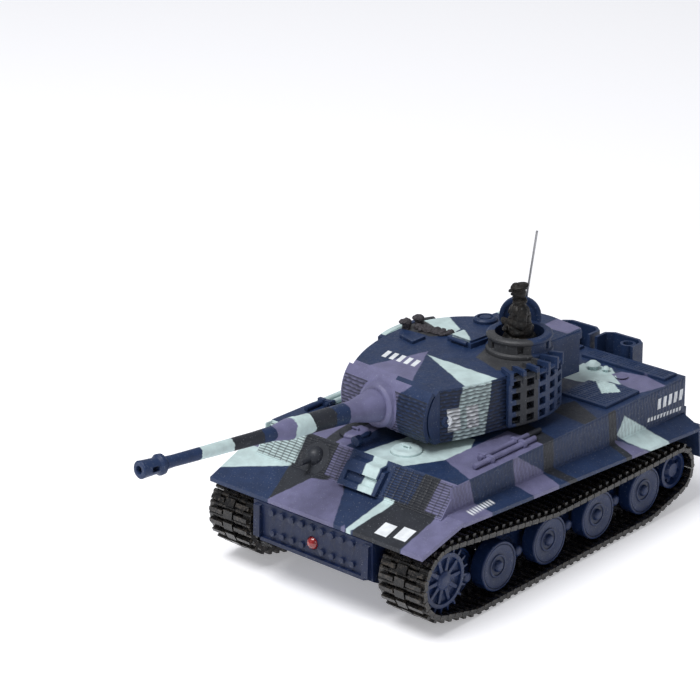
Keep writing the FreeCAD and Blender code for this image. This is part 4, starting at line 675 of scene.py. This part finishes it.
def turret_walls():
    for side, sign in (("left", 1), ("right", -1)):
        corner, bulge = turret_corner[side], turret_bulge[side]
        x, y, radius = arc_through(corner, bulge, (sign * turret_radius, 0))
        start = math.atan2(corner[1] - y, corner[0] - x)
        end = math.atan2(-y, sign * turret_radius - x)
        sweep = (end - start + math.pi) % (2 * math.pi) - math.pi

        def front_spot(u, v, x=x, y=y, radius=radius, start=start, sweep=sweep, sign=sign):
            angle = start + sweep * u / (abs(sweep) * radius)
            outward = Vector((math.cos(angle), math.sin(angle), 0))
            spot = turret(x + radius * outward.x, y + radius * outward.y, turret_foot_z + v)
            return spot, (turret_turn @ outward)

        texture_panel(f"turret_texture_{side}", "turret", front_spot, abs(sweep) * radius,
                      roof_z - turret_foot_z - 0.15, lambda u, v: scalloped(u, v, 0.68, 1.7, 1.0),
                      0.24, turret_paint())


mantlet_radius = 7.8
mantlet_low, mantlet_high = math.radians(-33), math.radians(26)
trunnion_y, trunnion_z = -15.5, 30.7


def mantlet_texture():
    x0 = turret_corner["right"][0] + 0.2
    wide = turret_corner["left"][0] - turret_corner["right"][0] - 0.3

    def spot(u, v):
        angle = mantlet_low + v / mantlet_radius
        y = trunnion_y - mantlet_radius * math.cos(angle)
        z = trunnion_z + mantlet_radius * math.sin(angle)
        normal = gun(0, -math.cos(angle), math.sin(angle)) - gun(0, 0, 0)
        return gun(x0 + u, y, z), normal.normalized()

    def near_sleeve(u, v):
        z = mantlet_radius * math.sin(mantlet_low + v / mantlet_radius)
        return math.hypot(x0 + u, z) < 4.75

    texture_panel("mantlet_texture", "gun", spot, wide, (mantlet_high - mantlet_low) * mantlet_radius,
                  lambda u, v: scalloped(u, v, 0.66, 1.7, 3.0), 0.22, mantlet_paint(), near_sleeve)


plate_foot = (-31.3, 19.5)
plate_top = (-26.8, 24.65)


def runged(u, v, column, pitch, seed):
    """Columns of short level rungs parted by narrow grooves."""
    wander = noise.noise(Vector((u * 0.3, v * 0.4, seed)))
    across = (u / column + 0.12 * wander) % 1.0
    between = min(across, 1 - across) * 2
    phase = (v / pitch + 0.3 * noise.noise(Vector((math.floor(u / column + 0.12 * wander) * 7.3, 0, seed)))
             + 0.2 * wander) % 1.0
    return ridge(phase) * min(1.0, max(0.3, (between - 0.05) * 5))


def plate_texture():
    slope = Vector((0, plate_top[0] - plate_foot[0], plate_top[1] - plate_foot[1]))
    tall = slope.length - 0.5
    up = slope.normalized()
    normal = Vector((0, -up.z, up.y))
    x0 = -hull_half_width + 0.15

    def spot(u, v):
        along = up * (v + 0.2)
        return hull(x0 + u, plate_foot[0] + along.y, plate_foot[1] + along.z), normal

    def behind_fittings(u, v):
        x = x0 + u
        visor = -2.0 < x < 8.4
        ball = math.hypot(x + 9.1, v - 2.6) < 3.1
        return visor or ball

    texture_panel("driver_plate_texture", "hull", spot, 2 * hull_half_width - 0.3, tall,
                  lambda u, v: runged(u, v, 1.5, 0.5, 7.0), 0.18, hull_paint(), behind_fittings)


side_front_y, side_rear_y = -28.6, 39.6
side_foot_front_z, side_foot_rear_z = 20.2, 17.2        # the textured band's lower edge slopes down aft
side_band = 5.0


def side_texture():
    long = side_rear_y - side_front_y
    for side, sign in (("left", 1), ("right", -1)):
        def spot(u, v, sign=sign):
            foot = side_foot_front_z + (side_foot_rear_z - side_foot_front_z) * u / long
            z = foot + (deck_z - 0.12 - foot) * v / side_band
            return hull(sign * hull_half_width, side_front_y + u, z), Vector((sign, 0, 0))

        def relief(u, v, sign=sign):
            wander = noise.noise(Vector((u * 0.25, v * 0.5, 11.0 + sign)))
            row = math.floor(v / 1.3 + 0.5 * wander)
            stroke = 0.5 + 0.5 * math.cos(2 * math.pi * (u / 0.95 + 0.3 * row + 0.5 * wander))
            fine = noise.noise(Vector((u * 0.9, v * 3.4, 17.0 + sign)))
            return 0.75 * stroke ** 2 + 0.25 * fine

        obj = texture_panel(f"hull_side_texture_{side}", "hull", spot, long, side_band, relief, 0.09,
                            hull_paint(), step=0.2)
        # a fainter painted shade between the ripples on the hull's sides
        groove_shades = obj.data.attributes["groove_shade"].data
        groove_shades.foreach_set("value", [0.3 * groove_shade.value for groove_shade in groove_shades])


# ---------------------------------------------------------------- road wheels
wheel_radius = 4.71
wheel_segments = 72
hub_start = 14.9
# from the centreline: inner face, outer face and hub cap of the two rows of wheels
inner_row, outer_row = (16.6, 20.2, 23.2), (21.4, 24.4, 24.7)
# (x, radius, darkness of the painted shade in the recesses) from the rim inwards, x counted from the wheel's
# outer face
wheel_face = [(-0.25, wheel_radius, 0), (0.0, 4.56, 0), (0.0, 4.24, 0), (-0.16, 4.2, 1), (-0.16, 4.08, 1),
              (-0.06, 4.02, 0), (-0.3, 2.9, 0.1), (-0.42, 2.3, 0.3), (-0.42, 2.2, 1), (-0.24, 2.14, 0),
              (-0.24, 1.8, 0), (-0.44, 1.74, 1), (-0.46, 1.12, 0.4)]


def wheel_profile(x0, x1, hub_end):
    """Closed half-section of a road wheel with its hub, as (x, radius, painted shade)."""
    back = [(hub_start, 0, 0), (hub_start, 1.3, 0), (x0, 1.3, 1), (x0, 3.4, 0.4), (x0, 4.41, 0),
            (x0 + 0.3, wheel_radius, 0)]
    face = [(x1 + x, radius, painted_shade) for x, radius, painted_shade in wheel_face]
    cap = [(hub_end - 0.35, 1.02, 0.3), (hub_end - 0.08, 0.8, 0), (hub_end, 0.5, 0), (hub_end, 0, 0)]
    return back + face + cap


def road_wheels():
    for side, sign in (("left", 1), ("right", -1)):
        for i in range(8):
            name = f"wheel_{side}_{i + 1}"
            centre = Vector(joints[f"{name}_spin"]["pos_m"])
            profile = wheel_profile(*(outer_row if i % 2 == 1 else inner_row))
            turned_wheel(name, sign, profile, centre)


def turned_wheel(name, sign, profile, centre):
    points, painted_shades, faces = [], [], []
    for x, radius, painted_shade in profile:
        for k in range(wheel_segments):
            angle = 2 * math.pi * k / wheel_segments
            points.append(Vector((sign * x * MM, centre.y + radius * MM * math.cos(angle),
                                  centre.z + radius * MM * math.sin(angle))))
            painted_shades.append(painted_shade)
    for j in range(len(profile) - 1):
        for k in range(wheel_segments):
            after = (k + 1) % wheel_segments
            a, b = j * wheel_segments, (j + 1) * wheel_segments
            faces.append((a + k, a + after, b + after, b + k))
    mesh = bpy.data.meshes.new(name + "_disc")
    mesh.from_pydata(points, [], faces)
    attribute = mesh.attributes.new("groove_shade", "FLOAT", "POINT")
    # painted shade in the wheel's recesses, for the paint's darkening
    attribute.data.foreach_set("value", [0.7 * painted_shade for painted_shade in painted_shades])
    bm = bmesh.new()
    bm.from_mesh(mesh)
    bmesh.ops.remove_doubles(bm, verts=bm.verts, dist=1e-6)
    bmesh.ops.recalc_face_normals(bm, faces=bm.faces)
    bm.to_mesh(mesh)
    bm.free()
    obj = add_object(name + "_disc", mesh)
    obj.data.materials.append(plain_paint("wheel_blue", wheel_blue, 0.36))
    round_edges(obj, 0.05, 24)
    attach(obj, name)
    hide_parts(name)


# ---------------------------------------------------------------- moulded figure and stowage
def ball(bm, centre, radii, turn=Matrix()):
    """Add an ellipsoid; radii along its own axes, turned by a matrix."""
    place = Matrix.Translation(centre) @ turn.to_4x4() @ Matrix.Diagonal((*radii, 1.0))
    bmesh.ops.create_icosphere(bm, subdivisions=3, radius=1.0, matrix=place)


def limb(bm, start, end, start_radius, end_radius):
    """Add a tapering round limb as a close row of balls."""
    start, end = Vector(start), Vector(end)
    steps = max(2, math.ceil((end - start).length / (0.35 * min(start_radius, end_radius))))
    for i in range(steps + 1):
        share = i / steps
        radius = start_radius + (end_radius - start_radius) * share
        ball(bm, start.lerp(end, share), (radius, radius, radius))


def moulded(name, bm, voxel, folds, place, material, replaced):
    """Melt the overlapping balls into one soft piece, add folds, and set it in its place."""
    mesh = bpy.data.meshes.new(name)
    bm.to_mesh(mesh)
    bm.free()
    obj = add_object(name, mesh)
    melt = obj.modifiers.new("melt", "REMESH")
    melt.mode = "VOXEL"
    melt.voxel_size = voxel
    soften = obj.modifiers.new("soften", "SMOOTH")
    soften.iterations = 2
    soft = bpy.data.meshes.new_from_object(obj.evaluated_get(bpy.context.evaluated_depsgraph_get()))
    obj.modifiers.clear()
    obj.data = soft
    moved = [v.co + v.normal * folds(v.co) for v in soft.vertices]
    for vertex, spot in zip(soft.vertices, moved):
        vertex.co = place(spot)
    soft.polygons.foreach_set("use_smooth", [True] * len(soft.polygons))
    soft.update()
    soft.materials.clear()
    soft.materials.append(material)
    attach(obj, "turret")
    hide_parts(replaced)
    return obj


figure_x, figure_y = 7.7, 5.4                           # the cupola's axis, turret frame
figure_facing = math.radians(-38)                       # turned to the tank's right of straight ahead


def commander():
    """Half-length figure in a coat and peaked cap, arms crossed; x its left, y ahead, z above the roof."""
    bm = bmesh.new()
    ball(bm, (0, 0, 1.6), (3.7, 3.3, 2.6))                              # coat, down in the cupola
    ball(bm, (0, 0, 3.8), (3.1, 2.6, 2.6))
    ball(bm, (0, -0.1, 6.0), (2.5, 2.0, 3.0))
    ball(bm, (0, 0.3, 7.3), (2.1, 1.7, 1.8))
    limb(bm, (-1.7, -0.2, 8.2), (1.7, -0.2, 8.2), 0.9, 0.9)             # shoulders
    limb(bm, (0, -0.1, 8.6), (0, 0.1, 10.0), 1.0, 0.8)                  # neck
    for i in range(18):                                                 # collar, open at the throat
        angle = math.pi * (0.12 + 1.76 * i / 17)
        ball(bm, (1.15 * math.sin(angle), 1.05 * math.cos(angle), 9.2 - 0.25 * math.cos(angle)),
             (0.3, 0.3, 0.5))
    ball(bm, (0, 0.15, 10.9), (1.1, 1.3, 1.45))                         # head
    ball(bm, (0, 0.5, 10.15), (0.82, 0.85, 0.8))
    ball(bm, (0, 1.5, 10.72), (0.17, 0.28, 0.3))                        # nose
    ball(bm, (0, 1.18, 9.72), (0.34, 0.28, 0.26))                       # chin
    limb(bm, (-0.24, 1.3, 10.16), (0.24, 1.3, 10.16), 0.11, 0.11)       # mouth
    for side in (-1, 1):
        ball(bm, (side * 0.4, 1.2, 11.12), (0.36, 0.16, 0.13))          # brow
        ball(bm, (side * 0.4, 1.22, 10.86), (0.18, 0.12, 0.12))         # closed eye
        ball(bm, (side * 1.12, 0.1, 10.75), (0.14, 0.28, 0.4))          # ear
        limb(bm, (side * 0.62, 1.0, 9.0), (side * 0.2, 2.0, 7.4), 0.22, 0.14)           # lapel
        limb(bm, (side * 1.95, -0.2, 8.1), (side * 2.75, 0.1, 5.5), 0.95, 0.9)          # upper arm
        hand = Vector((-side * 0.9, 2.7, 4.8 + side * 0.45))
        limb(bm, (side * 2.75, 0.1, 5.5), hand, 0.88, 0.66)             # forearm, crossed in front
        ball(bm, hand + Vector((-side * 0.5, 0.15, 0.05)), (0.62, 0.4, 0.45))
        for height in (7.0, 6.2):
            ball(bm, (side * 0.55, 2.02, height), (0.15, 0.14, 0.15))   # buttons
    lean = Matrix.Rotation(math.radians(-10), 3, "X")
    ball(bm, (0, 0.05, 11.75), (1.28, 1.45, 0.5), lean)                 # cap band
    ball(bm, (0, 0.1, 12.2), (1.68, 1.75, 0.42), lean)                  # crown
    ball(bm, (0, 0.8, 12.4), (1.05, 0.7, 0.38), lean)
    ball(bm, (0, 1.6, 11.45), (0.95, 0.62, 0.15), Matrix.Rotation(math.radians(-22), 3, "X"))
    turn = Matrix.Rotation(figure_facing, 3, "Z")

    def folds(co):
        cloth = 0.11 if co.z < 8.9 else (0.05 if co.z > 11.7 else 0.0)
        wrinkle = noise.noise(Vector((co.x * 0.9, co.y * 0.9, co.z * 1.5)))
        fine = noise.noise(Vector((co.x * 2.3, co.y * 2.3, co.z * 2.9 + 9)))
        return cloth * (1.3 * wrinkle + 0.6 * fine)

    def place(co):
        across = turn @ Vector((co.x, -co.y, 0))
        return turret(figure_x + across.x, figure_y + across.y, roof_z + co.z)

    moulded("commander", bm, 0.09, folds, place, figure_paint(), "commander_figure")


def stowage():
    """Two cloth-topped domes at the roof's right edge and a rolled net in front of them."""
    bm = bmesh.new()
    for x, y in ((-14.5, -1.7), (-14.3, 1.5)):
        limb(bm, (x, y, 0.3), (x + 0.1, y, 1.1), 0.85, 0.95)
        ball(bm, (x - 0.1, y - 0.3, 1.35), (1.0, 1.1, 0.5))
    for i in range(15):
        x = -12.8 + 0.46 * i
        y = 0.5 * math.sin(1.9 * i) - 0.25 + 0.10 * i
        ball(bm, (x, y, 0.28), (0.75, 0.95 + 0.35 * math.sin(2.7 * i), 0.55 + 0.2 * math.sin(4.1 * i + 1)))

    def folds(co):
        knots = noise.noise(Vector((co.x * 1.7, co.y * 1.7, co.z * 1.7)))
        fine = noise.noise(Vector((co.x * 4.5, co.y * 4.5, co.z * 4.5 + 5)))
        return 0.16 * knots + 0.09 * fine

    def place(co):
        return turret(co.x, co.y, roof_z + max(0.0, co.z))

    moulded("roof_net_and_domes", bm, 0.09, folds, place, net_paint(), "roof_stowage")


def figure_paint():
    """Unpainted dark brown plastic, dull, with a painted highlight that makes the raised folds greyer."""
    s = Shader("figure_brown")
    # painted highlight on the raised folds
    painted_relief_light = s.math("POWER", s.ramp(s.pointiness(), 0.47, 0.56), 1.5)
    colour = s.mix(s.ramp(s.noise(0.6, 3.0), 0.4, 0.6), tone(11, 11, 12), tone(24, 20, 17))
    colour = s.mix(s.math("MULTIPLY", painted_relief_light, 0.5), colour, tone(48, 44, 40))
    s.feed(s.surface.inputs["Base Color"], colour)
    s.surface.inputs["Specular IOR Level"].default_value = 0.3
    s.feed(s.surface.inputs["Roughness"], s.ramp(s.noise(2.2, 3.0), 0.3, 0.7, 0.42, 0.62))
    s.bump(s.noise(4.0, 3.0, 0.6), 0.05)
    return s.material


def net_paint():
    """Grey-brown net: painted shade, dark, between the lumps, dusty on top of them."""
    s = Shader("net_brown")
    painted_relief_light = s.ramp(s.pointiness(), 0.44, 0.56)
    # painted shade: dark in the hollows between the lumps
    colour = s.mix(painted_relief_light, tone(30, 28, 30), net_brown)
    colour = s.mix(s.ramp(s.noise(2.4, 3.0), 0.55, 0.75, 0.0, 0.5), colour, tone(98, 92, 96))
    s.feed(s.surface.inputs["Base Color"], colour)
    s.feed(s.surface.inputs["Roughness"], s.ramp(s.noise(2.2, 3.0), 0.3, 0.7, 0.55, 0.8))
    s.bump(s.noise(5.0, 4.0, 0.7), 0.12)
    return s.material


# ---------------------------------------------------------------- lights, floor
def make_floor():
    mesh = bpy.data.meshes.new("floor")
    half = 3.0
    corners = [(-half, -half, 0), (half, -half, 0), (half, half, 0), (-half, half, 0)]
    mesh.from_pydata(corners, [], [(0, 1, 2, 3)])
    floor = add_object("floor", mesh)
    material = bpy.data.materials.new("floor")
    material.use_nodes = True
    surface = material.node_tree.nodes["Principled BSDF"]
    surface.inputs["Base Color"].default_value = tone(246, 246, 248)
    surface.inputs["Roughness"].default_value = 0.7
    surface.inputs["Emission Color"].default_value = tone(252, 252, 255)
    surface.inputs["Emission Strength"].default_value = 0.3
    mesh.materials.append(material)


def area_light(name, place, target, size, power):
    data = bpy.data.lights.new(name, "AREA")
    data.shape = "DISK"
    data.size = size
    data.energy = power
    lamp = add_object(name, data)
    lamp.location = place
    lamp.rotation_mode = "QUATERNION"
    lamp.rotation_quaternion = (place - target).to_track_quat("Z", "Y")


def make_lights():
    """A large soft light overhead and a little behind, with weaker fills from the front and the left."""
    middle = Vector((0, 0, 0.03))
    area_light("overhead", Vector((-0.08, -0.34, 0.77)), middle, 0.5, 5.7)
    area_light("front_fill", Vector((-0.25, -0.8, 0.40)), middle, 0.5, 0.25)
    area_light("left_fill", Vector((0.80, -0.25, 0.45)), middle, 0.5, 0.7)
    area_light("back_sheen", Vector((-0.62, 0.70, 0.42)), middle, 0.7, 0.2)
    world = bpy.data.worlds.new("studio")
    world.use_nodes = True
    world.node_tree.nodes["Background"].inputs["Color"].default_value = tone(246, 248, 255)
    world.node_tree.nodes["Background"].inputs["Strength"].default_value = 0.30
    bpy.context.scene.world = world
    bpy.context.scene.view_settings.view_transform = "Standard"


make_camera()
dress_everything()
turret_walls()
mantlet_texture()
plate_texture()
side_texture()
road_wheels()
commander()
stowage()
make_floor()
make_lights()
